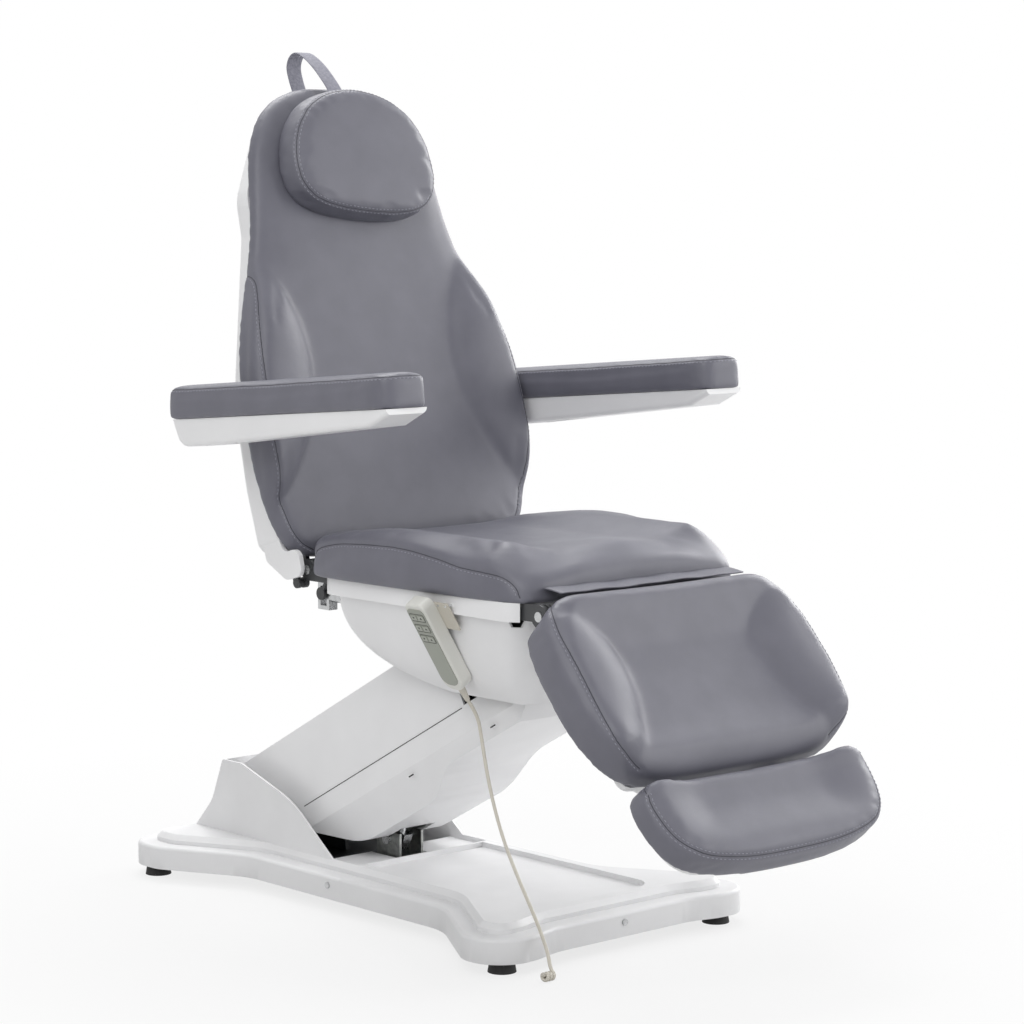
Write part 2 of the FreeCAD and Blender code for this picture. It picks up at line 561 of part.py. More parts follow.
def slotted_eye(axis, across, at, slot_low, slot_high, other):
    """A flat eye with a slot across the rod, so that the pin can follow its arc."""
    reach = "(bolt_radius + slot_play)"
    x = ("%s - rod_eye" % across, "%s + rod_eye" % across)
    along = ("%s - eye_long" % at, "%s + eye_long" % at)
    side = ("%s - %s - eye_long" % (other, slot_low), "%s + %s + eye_long" % (other, slot_high))
    void = ("%s - %s" % (at, reach), "%s + %s" % (at, reach))
    gap = ("%s - %s - %s" % (other, slot_low, reach), "%s + %s + %s" % (other, slot_high, reach))
    through = ("%s - rod_eye * 2" % across, "%s + rod_eye * 2" % across)
    if axis == "z":
        return block(x, side, along), block(through, gap, void)
    return block(x, along, side), block(through, void, gap)


LIFT = dict(y="bolt_y", z="bolt_z", angle="lift_lean")


def lift_motor():
    solids, bore = motor("z", "lift_x", "0", "lift_low", "lift_high", -1, False)
    sides = ("lift_x - can_offset - can_radius - case_lip", "lift_x + tube_radius + case_lip")
    collar = block(sides, ("-tube_radius - case_lip", "tube_radius + case_lip"),
                   ("trunnion_up - trunnion_radius * 1.75", "trunnion_up + trunnion_radius * 1.75"))
    named("lift_motor", carved(joined(solids + [collar]), [bore]), **LIFT)
    stubs = [bar("x", "trunnion_radius", start, end, "0", "trunnion_up") for start, end in
             (("beam_thick / 2 - beam_x", sides[0]), (sides[1], "beam_x - beam_thick / 2"))]
    named("motor_trunnions", joined(stubs), **LIFT)
    rod = bar("z", "rod_radius", "eye_long", "lift_rod_top", "lift_x", "0")
    eye, slot = slotted_eye("z", "lift_x", "0", "lift_slot", "fit", "0")
    named("lift_rod", joined([rod, carved(eye, [slot])]), **LIFT)


def seat_motors():
    """Back motor on the left and leg motor on the right, both along the seat."""
    solids, bore = motor("y", "-motor_x", "back_z - back_drop", "-back_tube_front",
                         "-back_tube_rear", -1, True)
    named("back_motor", carved(joined(solids), [bore]))
    eye_at = "back_y + lever * sin(back_lever)"
    rod = bar("y", "rod_radius", "-back_rod_tail", eye_at + " - eye_long", "-motor_x",
              "back_z - back_drop")
    eye, slot = slotted_eye("y", "-motor_x", eye_at, "back_slot", "back_slot", "back_z - back_drop")
    named("back_rod", joined([rod, carved(eye, [slot])]))
    solids, bore = motor("y", "motor_x", "leg_z - leg_drop", "-leg_tube_front", "-leg_tube_rear",
                         -1, False)
    named("leg_motor", carved(joined(solids), [bore]))
    eye_at = "lever * sin(leg_lever) - leg_y"
    rod = bar("y", "rod_radius", eye_at + " + eye_long", "-leg_rod_tail", "motor_x",
              "leg_z - leg_drop")
    eye, slot = slotted_eye("y", "motor_x", eye_at, "leg_slot", "leg_slot", "leg_z - leg_drop")
    named("leg_rod", joined([rod, carved(eye, [slot])]))


# Seat

def seat_frame():
    top = "seat_low"
    floor = prism("XY_Plane", rectangle("pan_half - cover_wall", "cover_wall - pan_front",
                                        "pan_rear - cover_wall"), top + " - plate", top)
    rounded(floor, "pan_corner - cover_wall", runs_along(Z_AXIS))
    seat_y, seat_z = "arm_y - arm_length * cos(arm_angle)", "arm_z + arm_length * sin(arm_angle)"
    drop = [("%s - post_foot" % seat_y, top + " - plate / 2"),
            ("%s - shaft_radius * 2" % seat_y, seat_z + " - shaft_radius"),
            ("%s - shaft_radius" % seat_y, seat_z + " - shaft_radius * 2"),
            ("%s + shaft_radius" % seat_y, seat_z + " - shaft_radius * 2"),
            ("%s + shaft_radius * 2" % seat_y, seat_z + " - shaft_radius"),
            ("%s + post_foot + link_dy" % seat_y, top + " - plate / 2")]
    lugs = both(lambda x: prism("YZ_Plane", drop, x[0], x[1]), "post_x - post_thick / 2",
                "post_x + post_thick / 2")
    bore = bar("x", "shaft_radius + fit", "-post_x * 2", "post_x * 2", seat_y, seat_z)
    pin = bar("x", "link_pin", "-post_x", "post_x", seat_y + " + link_dy", seat_z + " + link_dz")
    back_lugs = both(lambda x: joined([
        block(x, ("pan_rear - rail_width", "back_y"), ("back_z - lug_radius", top)),
        bar("x", "lug_radius", x[0], x[1], "back_y", "back_z"),
        bar("x", "rest_link_eye", x[0], x[1], "back_y + lever_dy", "back_z - lever_dz")]),
        "lug_in", "lug_in + lug_thick")
    studs = both(lambda x: bar("x", "stud_radius", x[0], x[1], "back_y + lever_dy",
                               "back_z - lever_dz"), "lug_in", "rest_link_in + rest_link_thick")
    leg_lugs = both(lambda x: joined([
        block(x, ("-leg_y", "rail_width - pan_front"), ("leg_z - lug_radius / 2", top)),
        bar("x", "lug_radius", x[0], x[1], "-leg_y", "leg_z")]), "lug_in", "lug_in + lug_thick")
    pins = [bar("x", "pin_radius + fit", "-pin_out * 2", "pin_out * 2", along, up) for along, up in
            (("back_y", "back_z"), ("-leg_y", "leg_z"))]
    hangers = [block((across + " - rod_radius", across + " + rod_radius"),
                     (start, start + " + rail_width"), (low + " + tube_radius - plate / 2", top))
               for across, low, starts in
               (("-motor_x", "back_z - back_drop", ("can_length - back_tube_front",
                                                    "-back_tube_rear - rail_width * 2")),
                ("motor_x", "leg_z - leg_drop", ("rail_width - leg_tube_front",
                                                 "-leg_tube_rear - can_length - rail_width * 2")))
               for start in starts]
    tubes = [bar("y", "tube_radius", "-leg_y", "back_y", across, up) for across, up in
             (("-motor_x", "back_z - back_drop"), ("motor_x", "leg_z - leg_drop"))]
    steel = joined([floor] + lugs + back_lugs + leg_lugs + [carved(joined(hangers), tubes)])
    named("seat_frame", joined([carved(steel, [bore] + pins), pin] + studs))


def seat_pan():
    """White tub under the seat: an upright band, then a hull that curves in towards the arm."""
    band_low = "seat_low - pan_band"

    def rounded_box(corners, low, high, radius):
        return rounded(prism("XY_Plane", corners, low, high), radius, runs_along(Z_AXIS))

    def section(half, front, rear, inset):
        return rectangle("%s - %s" % (half, inset), "%s - (%s)" % (inset, front), "%s - %s" % (rear, inset))

    def band(inset, low, high):
        return rounded_box(section("pan_half", "pan_front", "pan_rear", inset), low, high,
                           "pan_corner - %s" % inset)

    def rim(inset):
        return section("pan_half - pan_step", "pan_front - pan_step", "pan_rear - pan_step", inset)

    def hull(inset):
        body = doc.addObject("PartDesign::Body", "body")
        loft = body.newObject("PartDesign::AdditiveLoft", "hull")
        loft.Profile = outline(body, "XY_Plane", rim(inset), band_low)
        loft.Sections = [outline(body, "XY_Plane", section(*spot, inset), level) for spot, level in
                         ((("mid_half", "mid_front", "-mid_rear"), "pan_mid"),
                          (("keel_half", "keel_front", "-keel_rear"), "pan_low"))]
        body.Tip = loft
        return rounded(body, "pan_corner - %s" % inset, lambda edge: edge.BoundBox.ZLength > NEAR)

    outer = joined([band("0", band_low, "seat_low"), hull("0")])
    inner = joined([band("cover_wall", band_low + " + cover_wall", "seat_low + cover_wall"),
                    rounded_box(rim("cover_wall"), band_low, band_low + " + cover_wall * 2",
                                "pan_corner - cover_wall"), hull("cover_wall")])
    passage = block(("-arm_half - arm_gap", "arm_half + arm_gap"),
                    ("-keel_rear - pan_corner", "pan_rear * 2"), ("pan_low - cover_wall", "slot_top"))
    rods = [block((across + " - rod_eye - arm_gap", across + " + rod_eye + arm_gap"), along,
                  (up + " - back_slot - eye_long - arm_gap", "seat_low - plate - cover_wall"))
            for across, along, up in
            (("-motor_x", ("-keel_rear", "pan_rear * 2"), "back_z - back_drop"),
             ("motor_x", ("-pan_front * 2", "-keel_front"), "leg_z - leg_drop"))]
    notches = both(lambda x: block(x, ("-pan_front * 2", "pan_front"),
                                   ("leg_z - lug_radius - arm_gap / 2", "seat_low + plate")),
                   "lug_in - arm_gap / 2", "lug_in + lug_thick + arm_gap / 2")
    ends = block(("-pan_half", "pan_half"), ("arm_gap * 4 - pan_front", "pan_rear - arm_gap * 4"),
                 ("pan_low", "seat_low + plate * 2"))
    slits = carved(joined(notches), [ends])
    named("seat_pan", carved(outer, [inner, passage, slits] + rods))


def rectangle(half, front, rear):
    return [(negative(half), front), (half, front), (half, rear), (negative(half), rear)]


def seat_pad():
    body = prism("XY_Plane", rectangle("seat_half", "-seat_front", "seat_rear"), "seat_low", "seat_high")
    rounded(body, "seat_corner", runs_along(Z_AXIS))
    doc.recompute()
    rounded(body, "pad_edge", lies_at(Z_AXIS, size("seat_high")))
    humps = []
    for sign in (1, -1):
        spot = [("seat_half - pad_edge", "pad_edge - seat_front"), ("seat_half - pad_edge", "-seat_corner"),
                ("seat_half - bolster_width", "-seat_corner"),
                ("seat_half - bolster_width", "pad_edge - seat_front")]
        hump = prism("XY_Plane", [(across if sign > 0 else negative(across), along)
                                  for across, along in spot], "seat_high - pad_edge",
                     "seat_high + seat_bolster")
        rounded(hump, "pad_edge", runs_along(Z_AXIS))
        doc.recompute()
        rounded(hump, "seat_bolster * 0.9", lies_at(Z_AXIS, size("seat_high") + size("seat_bolster")))
        humps.append(hump)
    named("seat_pad", joined([body] + humps))
    flap = block(("-flap_half", "flap_half"),
                 ("-seat_front - flap_gap - flap_thick", "-seat_front - flap_gap"),
                 ("seat_low", "flap_high"))
    named("front_flap", joined([flap]))


def hinge_pins():
    for label, along, up in (("back_hinge_pins", "back_y", "back_z"), ("leg_hinge_pins", "-leg_y", "leg_z")):
        named(label, joined(both(lambda x: bar("x", "pin_radius", x[0], x[1], along, up),
                                 "pin_in", "pin_out")))


def hinge_arms(reach, side, behind):
    """Torque tube and end arms of a swinging section, about its hinge at the origin."""
    tube = bar("x", "torque_radius", "-hinge_in", "hinge_in", "0", "0")
    arms = both(lambda x: joined([
        bar("x", "lug_radius", x[0], x[1], "0", "0"),
        block(x, ("0", reach) if side > 0 else ("-" + reach, "0"),
              ("-lug_radius - plate / 2", negative(behind)))]),
        "hinge_in", "hinge_in + hinge_thick")
    bores = both(lambda x: bar("x", "pin_radius + fit", x[0], x[1], "0", "0"), "pin_in - fit", "pin_out")
    return tube, arms, bores


def lever_plates(across, at_y, at_z):
    """Two plates that hold the pin of a motor's rod."""
    plates = []
    for start in ("lever_gap", "-lever_gap - lever_thick"):
        x = ("%s + %s" % (across, start), "%s + %s + lever_thick" % (across, start))
        spine = [bar("x", "torque_radius", x[0], x[1], "0", "0"),
                 bar("x", "lever_pin * 1.8", x[0], x[1], at_y, at_z)]
        wide = "lever_pin * 1.6"
        web = prism("YZ_Plane", [(wide, wide), (negative(wide), "-" + wide),
                                 (at_y + " - " + wide, at_z + " - lever_pin"),
                                 (at_y + " + " + wide, at_z + " + lever_pin")], x[0], x[1])
        plates += spine + [web]
    pin = bar("x", "lever_pin", across + " - lever_gap - lever_thick",
              across + " + lever_gap + lever_thick", at_y, at_z)
    return plates + [pin]


# Back, in its own frame: along +Y from the hinge, face towards +Z

BACK = dict(y="back_y", z="back_z", angle="back_angle")


def back_outline(inset, foot, foot_half, top):
    """Right half from hinge to crown: hips wider than the shoulders, and a narrow head."""
    less = " - (%s)" % inset
    return symmetric([(foot_half, foot), ("back_wide" + less, "back_wide_at"),
                      ("back_wide" + less, "back_hip"),
                      ("back_shoulder" + less, "back_shoulder_at"),
                      ("back_shoulder" + less, "back_crown_at - back_round * 2"),
                      ("back_crown" + less, top)])


def above(level):
    """Edges along Z that lie further up the back than a level."""
    upright = runs_along(Z_AXIS)
    return lambda edge: upright(edge) and edge.CenterOfMass.y > level


def back_frame():
    panel = prism("XY_Plane", back_outline("board_inset", "back_foot + lug_radius",
                                           "back_foot_half - board_inset", "back_top - board_inset"),
                  "-back_behind - board", "-back_behind")
    rounded(panel, "back_corner", runs_along(Z_AXIS))
    tube, arms, bores = hinge_arms("back_wide_at", 1, "back_behind")
    at_y = "lever * (sin(back_lever) * cos(back_angle) - cos(back_lever) * sin(back_angle))"
    at_z = "lever * (-sin(back_lever) * sin(back_angle) - cos(back_lever) * cos(back_angle))"
    levers = lever_plates("-motor_x", at_y, at_z)
    along = "(rest_y - back_y) * cos(back_angle) + (rest_z - back_z) * sin(back_angle)"
    depth = "(rest_z - back_z) * cos(back_angle) - (rest_y - back_y) * sin(back_angle)"
    brackets = both(lambda x: joined([
        block((x[0], x[1]), (along + " - rest_shaft * 3", along + " + rest_shaft * 3"),
              ("-back_behind - board", "-back_behind"))]), "hinge_in - rest_shaft", "bracket_x")
    cheeks = both(lambda x: block(x, (along + " - rest_shaft * 2", along + " + rest_shaft * 2"),
                                  (depth + " - rest_shaft * 2", "-back_behind")),
                  "bracket_x", "bracket_x + bracket_wide")
    holes = [bar("x", "rest_shaft + fit", "-rest_x", "rest_x", along, depth)]
    steel = joined([panel, tube] + arms + brackets + cheeks + levers)
    named("back_frame", carved(steel, bores + holes), **BACK)


def shell_block(inset, foot, top):
    """Tray behind the back: its rear face is deep at the hips and runs in towards the head."""
    deep, head = "(%s) - shell_depth" % inset, "(%s) - shell_head" % inset
    body = prism("XY_Plane", back_outline("shell_inset + %s" % inset, foot, "shell_foot_half - %s" % inset,
                                          "back_top - shell_inset - %s" % inset), deep, top)
    rounded(body, "back_corner", above(size("back_wide_at") / 2))
    uprights = runs_along(Z_AXIS)
    foot_line = size("shell_foot") + 1
    rounded(body, "shell_corner", lambda edge: uprights(edge) and edge.CenterOfMass.y < foot_line)
    wedge = [("0", deep), ("back_top", head), ("back_top", "2 * (%s)" % deep), ("0", "2 * (%s)" % deep)]
    hollow(body, "YZ_Plane", wedge, "-back_wide", "back_wide")
    doc.recompute()
    now = size(inset) if inset in SIZES else 0
    slope = (size("shell_depth") - size("shell_head")) / size("back_top")

    def rim(edge):
        return all(abs(point.z - now + size("shell_depth") - slope * point.y) < NEAR
                   for point in edge.discretize(5))

    return rounded(body, "shell_round - %s" % inset, rim)


def back_shell():
    """White moulded shell behind the back, open at the hinge, with a hole for each armrest shaft."""
    body = shell_block("0", "shell_foot", "-back_behind")
    core = shell_block("shell_wall", "shell_foot - shell_wall", "0")
    reach = "rest_link_in + rest_link_thick + shell_wall"
    mouth = block((negative(reach), reach), ("0", "shell_foot + shell_round"),
                  ("shell_wall - shell_depth", "0"))
    along = "(rest_y - back_y) * cos(back_angle) + (rest_z - back_z) * sin(back_angle)"
    depth = "(rest_z - back_z) * cos(back_angle) - (rest_y - back_y) * sin(back_angle)"
    holes = bar("x", "rest_shaft + cover_wall / 2", "-rest_x", "rest_x", along, depth)

    def cheek(x):
        """Plate that hides the hinge from the side."""
        plate = prism("YZ_Plane", [("-cheek_low", "cheek_front"), ("-cheek_low", "-cheek_front / 2"),
                                   ("cheek_high / 3", "-cheek_rear"), ("cheek_high", "-cheek_rear"),
                                   ("cheek_high", "-back_behind"), ("cheek_step", "-back_behind"),
                                   ("cheek_step", "cheek_front")], x[0], x[1])
        return rounded(plate, "cheek_round", runs_along(X_AXIS))

    cheeks = both(cheek, "shell_foot_half - shell_wall * 2", "shell_foot_half")
    named("back_shell", joined([carved(body, [core, mouth, holes])] + cheeks), **BACK)


def back_pad():
    body = prism("XY_Plane", back_outline("0", "back_foot", "back_foot_half", "back_top"),
                 "-back_behind", "back_front")
    rounded(body, "back_corner", runs_along(Z_AXIS))
    doc.recompute()
    rounded(body, "pad_edge / 2", lies_at(Z_AXIS, size("back_front")))
    wings = []
    for sign in (1, -1):
        spot = [("back_foot_half - pad_edge / 2", "bolster_foot"),
                ("back_wide - pad_edge / 2", "back_wide_at"),
                ("back_wide - pad_edge / 2", "back_hip"),
                ("back_shoulder + pad_edge", "bolster_top"),
                ("back_shoulder - pad_edge", "bolster_top"),
                ("back_wide - back_bolster_wide", "back_hip"),
                ("back_wide - back_bolster_wide", "back_wide_at"),
                ("back_foot_half - back_bolster_wide", "bolster_foot")]
        wing = prism("XY_Plane", [(across if sign > 0 else negative(across), along)
                                  for across, along in spot], "0", "back_bolster")
        doc.recompute()
        rounded(wing, "(back_bolster - back_front) * 0.6", lies_at(Z_AXIS, size("back_bolster")))
        wings.append(wing)
    named("back_pad", joined([body] + wings), **BACK)


def pillow():
    """D-shaped head pillow, and the strap that runs over the top of the back."""
    half = [("pillow_foot", "pillow_low"), ("pillow_half", "pillow_waist"),
            ("pillow_half", "pillow_waist + pillow_round"), ("pillow_brow", "pillow_high")]
    low = "back_front + pillow_gap"
    body = prism("XY_Plane", symmetric(half), low, low + " + pillow_thick")
    rounded(body, "pillow_round", runs_along(Z_AXIS))
    doc.recompute()
    rounded(body, "pillow_edge", lies_at(Z_AXIS, body.Tip.Shape.BoundBox.ZMax))
    named("pillow", body, **BACK)
    thick, gap = size("strap_thick"), size("pillow_gap")
    front = size("back_front") + gap + size("strap_lift")
    rear = -size("shell_head") - gap - thick
    crown, shell_top = size("pillow_high") - thick, size("back_top") - size("shell_inset")
    middle = FreeCAD.Vector(0, size("strap_top"), 0.3 * front + 0.7 * rear)
    edge = -size("strap_width") / 2
    spine = Part.BSplineCurve()
    spine.interpolate([FreeCAD.Vector(edge, along, depth) for along, depth in
                       ((crown, front), (size("back_top") + size("strap_reach"), front), (middle.y, middle.z),
                        ((shell_top + middle.y) / 2, rear - thick), (shell_top, rear - thick),
                        (shell_top - size("strap_tail"), rear - thick - size("strap_slope")))])
    band = Part.Wire([spine.toShape()]).extrude(FreeCAD.Vector(-2 * edge, 0, 0))
    strap = doc.addObject("Part::Feature", "strap")
    strap.Shape = band.makeOffsetShape(thick, 1e-3, fill=True)
    seated = block(("-strap_width", "strap_width"), ("pillow_low", "pillow_high + pillow_gap / 2"),
                   ("back_front", "back_front + pillow_thick"))
    named("pillow_strap", carved(strap, [seated]), **BACK)


# Armrests, level with the seat whatever the back does

def armrests():
    for label, sign in (("right", 1), ("left", -1)):
        place = dict(x="%d * rest_x" % sign, y="rest_y", z="rest_z", axis=-X_AXIS, angle="rest_tilt")
        pad = prism("XY_Plane", [("-rest_half", "-rest_front"), ("rest_half", "-rest_front"),
                                 ("rest_half", "rest_rear"), ("-rest_half", "rest_rear")],
                    "rest_low", "rest_low + rest_thick")
        rounded(pad, "rest_corner", runs_along(Z_AXIS))
        doc.recompute()
        rounded(pad, "rest_edge", lies_at(Z_AXIS, size("rest_low") + size("rest_thick")))
        named("armrest_pad_" + label, pad, **place)
        profile = [("tray_back", "rest_low"), ("tray_heel", "-tray_deep"),
                   ("-groove_rear", "-tray_deep"), ("-tray_chin", "-tray_nose"),
                   ("-tray_front", "tray_nose / 2"), ("-tray_front", "rest_low")]
        tray = prism("YZ_Plane", profile, "-tray_half", "tray_half")
        rounded(tray, "rest_corner", runs_along(X_AXIS, [
            FreeCAD.Vector(0, size("tray_heel"), -size("tray_deep"))]))
        doc.recompute()
        rounded(tray, "tray_edge", lambda edge: edge.CenterOfMass.z < -1 and
                abs(abs(edge.CenterOfMass.x) - size("tray_half")) < NEAR)
        groove = block(("-groove_half", "groove_half"), ("-groove_front", "-groove_rear"),
                       ("-tray_deep * 2", "groove_deep - tray_deep"))
        shaft_ends = ("-(rest_x - crank_in)", "-tray_half + tray_edge") if sign > 0 else (
            "tray_half - tray_edge", "rest_x - crank_in")
        shaft = bar("x", "rest_shaft", shaft_ends[0], shaft_ends[1], "0", "0")
        turn_y = "lever_dy * cos(rest_tilt) + lever_dz * sin(rest_tilt)"
        turn_z = "lever_dy * sin(rest_tilt) - lever_dz * cos(rest_tilt)"
        crank_x = (("crank_in - rest_x", "crank_in + crank_thick - rest_x") if sign > 0 else
                   ("rest_x - crank_in - crank_thick", "rest_x - crank_in"))
        crank = [bar("x", "rest_shaft + crank_thick / 2", crank_x[0], crank_x[1], "0", "0"),
                 bar("x", "rest_link_eye", crank_x[0], crank_x[1], turn_y, turn_z),
                 prism("YZ_Plane", [("rest_link_eye", "0"), ("-rest_link_eye", "0"),
                                    (turn_y + " - rest_link_eye", turn_z),
                                    (turn_y + " + rest_link_eye", turn_z)], crank_x[0], crank_x[1])]
        stud_x = (("rest_link_in - rest_x", "crank_in - rest_x") if sign > 0 else
                  ("rest_x - crank_in", "rest_x - rest_link_in"))
        stud = bar("x", "stud_radius", stud_x[0], stud_x[1], turn_y, turn_z)
        named("armrest_tray_" + label, joined([carved(tray, [groove]), shaft, stud] + crank), **place)
        span = "((rest_y - back_y)^2 + (rest_z - back_z)^2)^0.5"
        x = ("rest_link_in", "rest_link_in + rest_link_thick") if sign > 0 else (
            "-rest_link_in - rest_link_thick", "-rest_link_in")
        web = block(x, ("0", span), ("-rest_link_height / 2", "rest_link_height / 2"))
        eyes = [bar("x", "rest_link_eye", x[0], x[1], along, "0") for along in ("0", span)]
        bores = [bar("x", "stud_radius + fit", x[0] + " - plate", x[1] + " + plate", along, "0")
                 for along in ("0", span)]
        named("armrest_link_" + label, carved(joined([web] + eyes), bores), y="back_y + lever_dy",
              z="back_z - lever_dz", angle="atan2(rest_z - back_z; rest_y - back_y)")


# Leg rest, in its own frame: along -Y from the hinge, face towards +Z

LEG = dict(y="-leg_y", z="leg_z", angle="leg_angle")


def leg_outline():
    half = [("leg_half - leg_taper", "-leg_near"), ("leg_half", "-leg_wide_at"), ("leg_half", "-leg_far")]
    return symmetric(half)


def leg_rest():
    pad = prism("XY_Plane", leg_outline(), "-leg_behind", "leg_front")
    rounded(pad, "leg_corner", runs_along(Z_AXIS))
    doc.recompute()
    rounded(pad, "pad_edge", lies_at(Z_AXIS, size("leg_front")))
    wings = []
    for sign in (1, -1):
        spot = [("leg_half - leg_taper - leg_wing_inset", "-leg_near - leg_wing_inset"),
                ("leg_half - leg_wing_inset", "-leg_wide_at"),
                ("leg_half - leg_wing_inset", "leg_corner - leg_far"),
                ("leg_half - leg_bolster_wide - leg_wing_inset", "leg_corner - leg_far"),
                ("leg_half - leg_bolster_wide - leg_wing_inset", "-leg_wide_at"),
                ("leg_half - leg_taper - leg_bolster_wide - leg_wing_inset", "-leg_near - leg_wing_inset")]
        wing = prism("XY_Plane", [(across if sign > 0 else negative(across), along)
                                  for across, along in spot], "0", "leg_bolster")
        rounded(wing, "pad_edge", runs_along(Z_AXIS))
        doc.recompute()
        rounded(wing, "(leg_bolster - leg_front) * 0.9", lies_at(Z_AXIS, size("leg_bolster")))
        wings.append(wing)
    hinge = bar("x", "hinge_clear", "-leg_half", "leg_half", "0", "0")
    named("leg_pad", carved(joined([pad] + wings), [hinge]), **LEG)
    panel = block(("-hinge_in", "hinge_in"), ("-leg_plate_far", "-leg_plate_near"),
                  ("-leg_behind - plate", "-leg_behind"))
    tube, arms, bores = hinge_arms("leg_plate_near * 2", -1, "leg_behind")
    at_y = "lever * (sin(leg_lever) * cos(leg_angle) - cos(leg_lever) * sin(leg_angle))"
    at_z = "lever * (-sin(leg_lever) * sin(leg_angle) - cos(leg_lever) * cos(leg_angle))"
    levers = lever_plates("motor_x", at_y, at_z)
    guides = both(lambda x: block(x, ("-guide_far", "-guide_near"),
                                  ("-guide_drop - guide_half", "-leg_behind - plate / 2")),
                  "guide_x - guide_half", "guide_x + guide_half")
    runs = [bar("y", "slide_radius + rod_fit", "-leg_far * 2", "leg_far", across, "-guide_drop")
            for across in ("guide_x", "-guide_x")]
    named("leg_frame", carved(joined([panel, tube] + arms + levers + guides), bores + runs), **LEG)
    tray = prism("XY_Plane", rectangle("leg_shell_half", "-leg_shell_far", "-leg_shell_near"),
                 "-leg_shell_depth", "-leg_behind")
    rounded(tray, "leg_shell_round", runs_along(Z_AXIS))
    doc.recompute()
    rounded(tray, "leg_shell_round * 0.8", lies_at(Z_AXIS, -size("leg_shell_depth")))
    core = prism("XY_Plane", rectangle("leg_shell_half - shell_wall", "shell_wall - leg_shell_far",
                                       "-leg_shell_near - shell_wall"), "shell_wall - leg_shell_depth", "0")
    rounded(core, "leg_shell_round - shell_wall", runs_along(Z_AXIS))
    doc.recompute()
    rounded(core, "leg_shell_round * 0.8 - shell_wall",
            lies_at(Z_AXIS, size("shell_wall") - size("leg_shell_depth")))
    ports = [bar("y", "slide_radius + shell_wall / 2", "-leg_far * 2", "-leg_plate_far", across,
                 "-guide_drop") for across in ("guide_x", "-guide_x")]
    reach = "hinge_in + hinge_thick + plate"
    door = block((negative(reach), reach), ("-leg_shell_near * 2", "0"), ("-leg_behind - plate", "0"))
    named("leg_shell", carved(tray, [core] + ports + [door]), **LEG)


def foot_rest():
    pad = prism("XY_Plane", rectangle("foot_half", "-foot_far", "-foot_near"), "-foot_behind",
                "foot_thick - foot_behind")
    far = [FreeCAD.Vector(sign * size("foot_half"), -size("foot_far"), 0) for sign in (1, -1)]
    near = [FreeCAD.Vector(sign * size("foot_half"), -size("foot_near"), 0) for sign in (1, -1)]
    rounded(pad, "foot_corner", runs_along(Z_AXIS, far))
    rounded(pad, "pad_edge", runs_along(Z_AXIS, near))
    doc.recompute()
    rounded(pad, "foot_edge", lies_at(Z_AXIS, size("foot_thick") - size("foot_behind")))
    named("foot_pad", pad, **LEG)
    tray = prism("XY_Plane", rectangle("foot_shell_half", "-foot_shell_far", "-foot_shell_near"),
                 "-foot_behind - foot_shell_thick", "-foot_behind")
    rounded(tray, "leg_corner", runs_along(Z_AXIS))
    doc.recompute()
    rounded(tray, "foot_shell_thick * 0.8", lies_at(Z_AXIS, -size("foot_behind") - size("foot_shell_thick")))
    bosses = [bar("y", "guide_half", "-boss_far", "-foot_shell_near", across, "-guide_drop")
              for across in ("guide_x", "-guide_x")]
    ribs = [block((across + " - guide_half", across + " + guide_half"), ("-boss_far", "-foot_shell_near"),
                  ("-guide_drop", "-foot_behind - foot_shell_thick / 2"))
            for across in ("guide_x", "-guide_x")]
    bores = [bar("y", "slide_radius + fit", "-boss_far + plate", "-foot_near + plate", across, "-guide_drop")
             for across in ("guide_x", "-guide_x")]
    named("foot_shell", carved(joined([tray] + bosses + ribs), bores), **LEG)
    named("slide_tubes", joined([bar("y", "slide_radius", "-boss_far + plate", "-slide_near", across,
                                     "-guide_drop") for across in ("guide_x", "-guide_x")]), **LEG)


# Handset, in its own frame: length along Z, keys towards -X

HANDSET = dict(x="-set_x", y="-set_y", z="set_z", axis=-Y_AXIS, angle="set_tilt")


def key_spots():
    return [("%d * key_gap / 2" % side, "key_top - %d * key_pitch" % row)
            for row in range(3) for side in (-1, 1)]


def corners_at(half, level):
    """The two edges along X at a half width and a level, or at zero."""
    height = size(level) if level else 0
    return runs_along(X_AXIS, [FreeCAD.Vector(0, sign * size(half), height) for sign in (1, -1)])


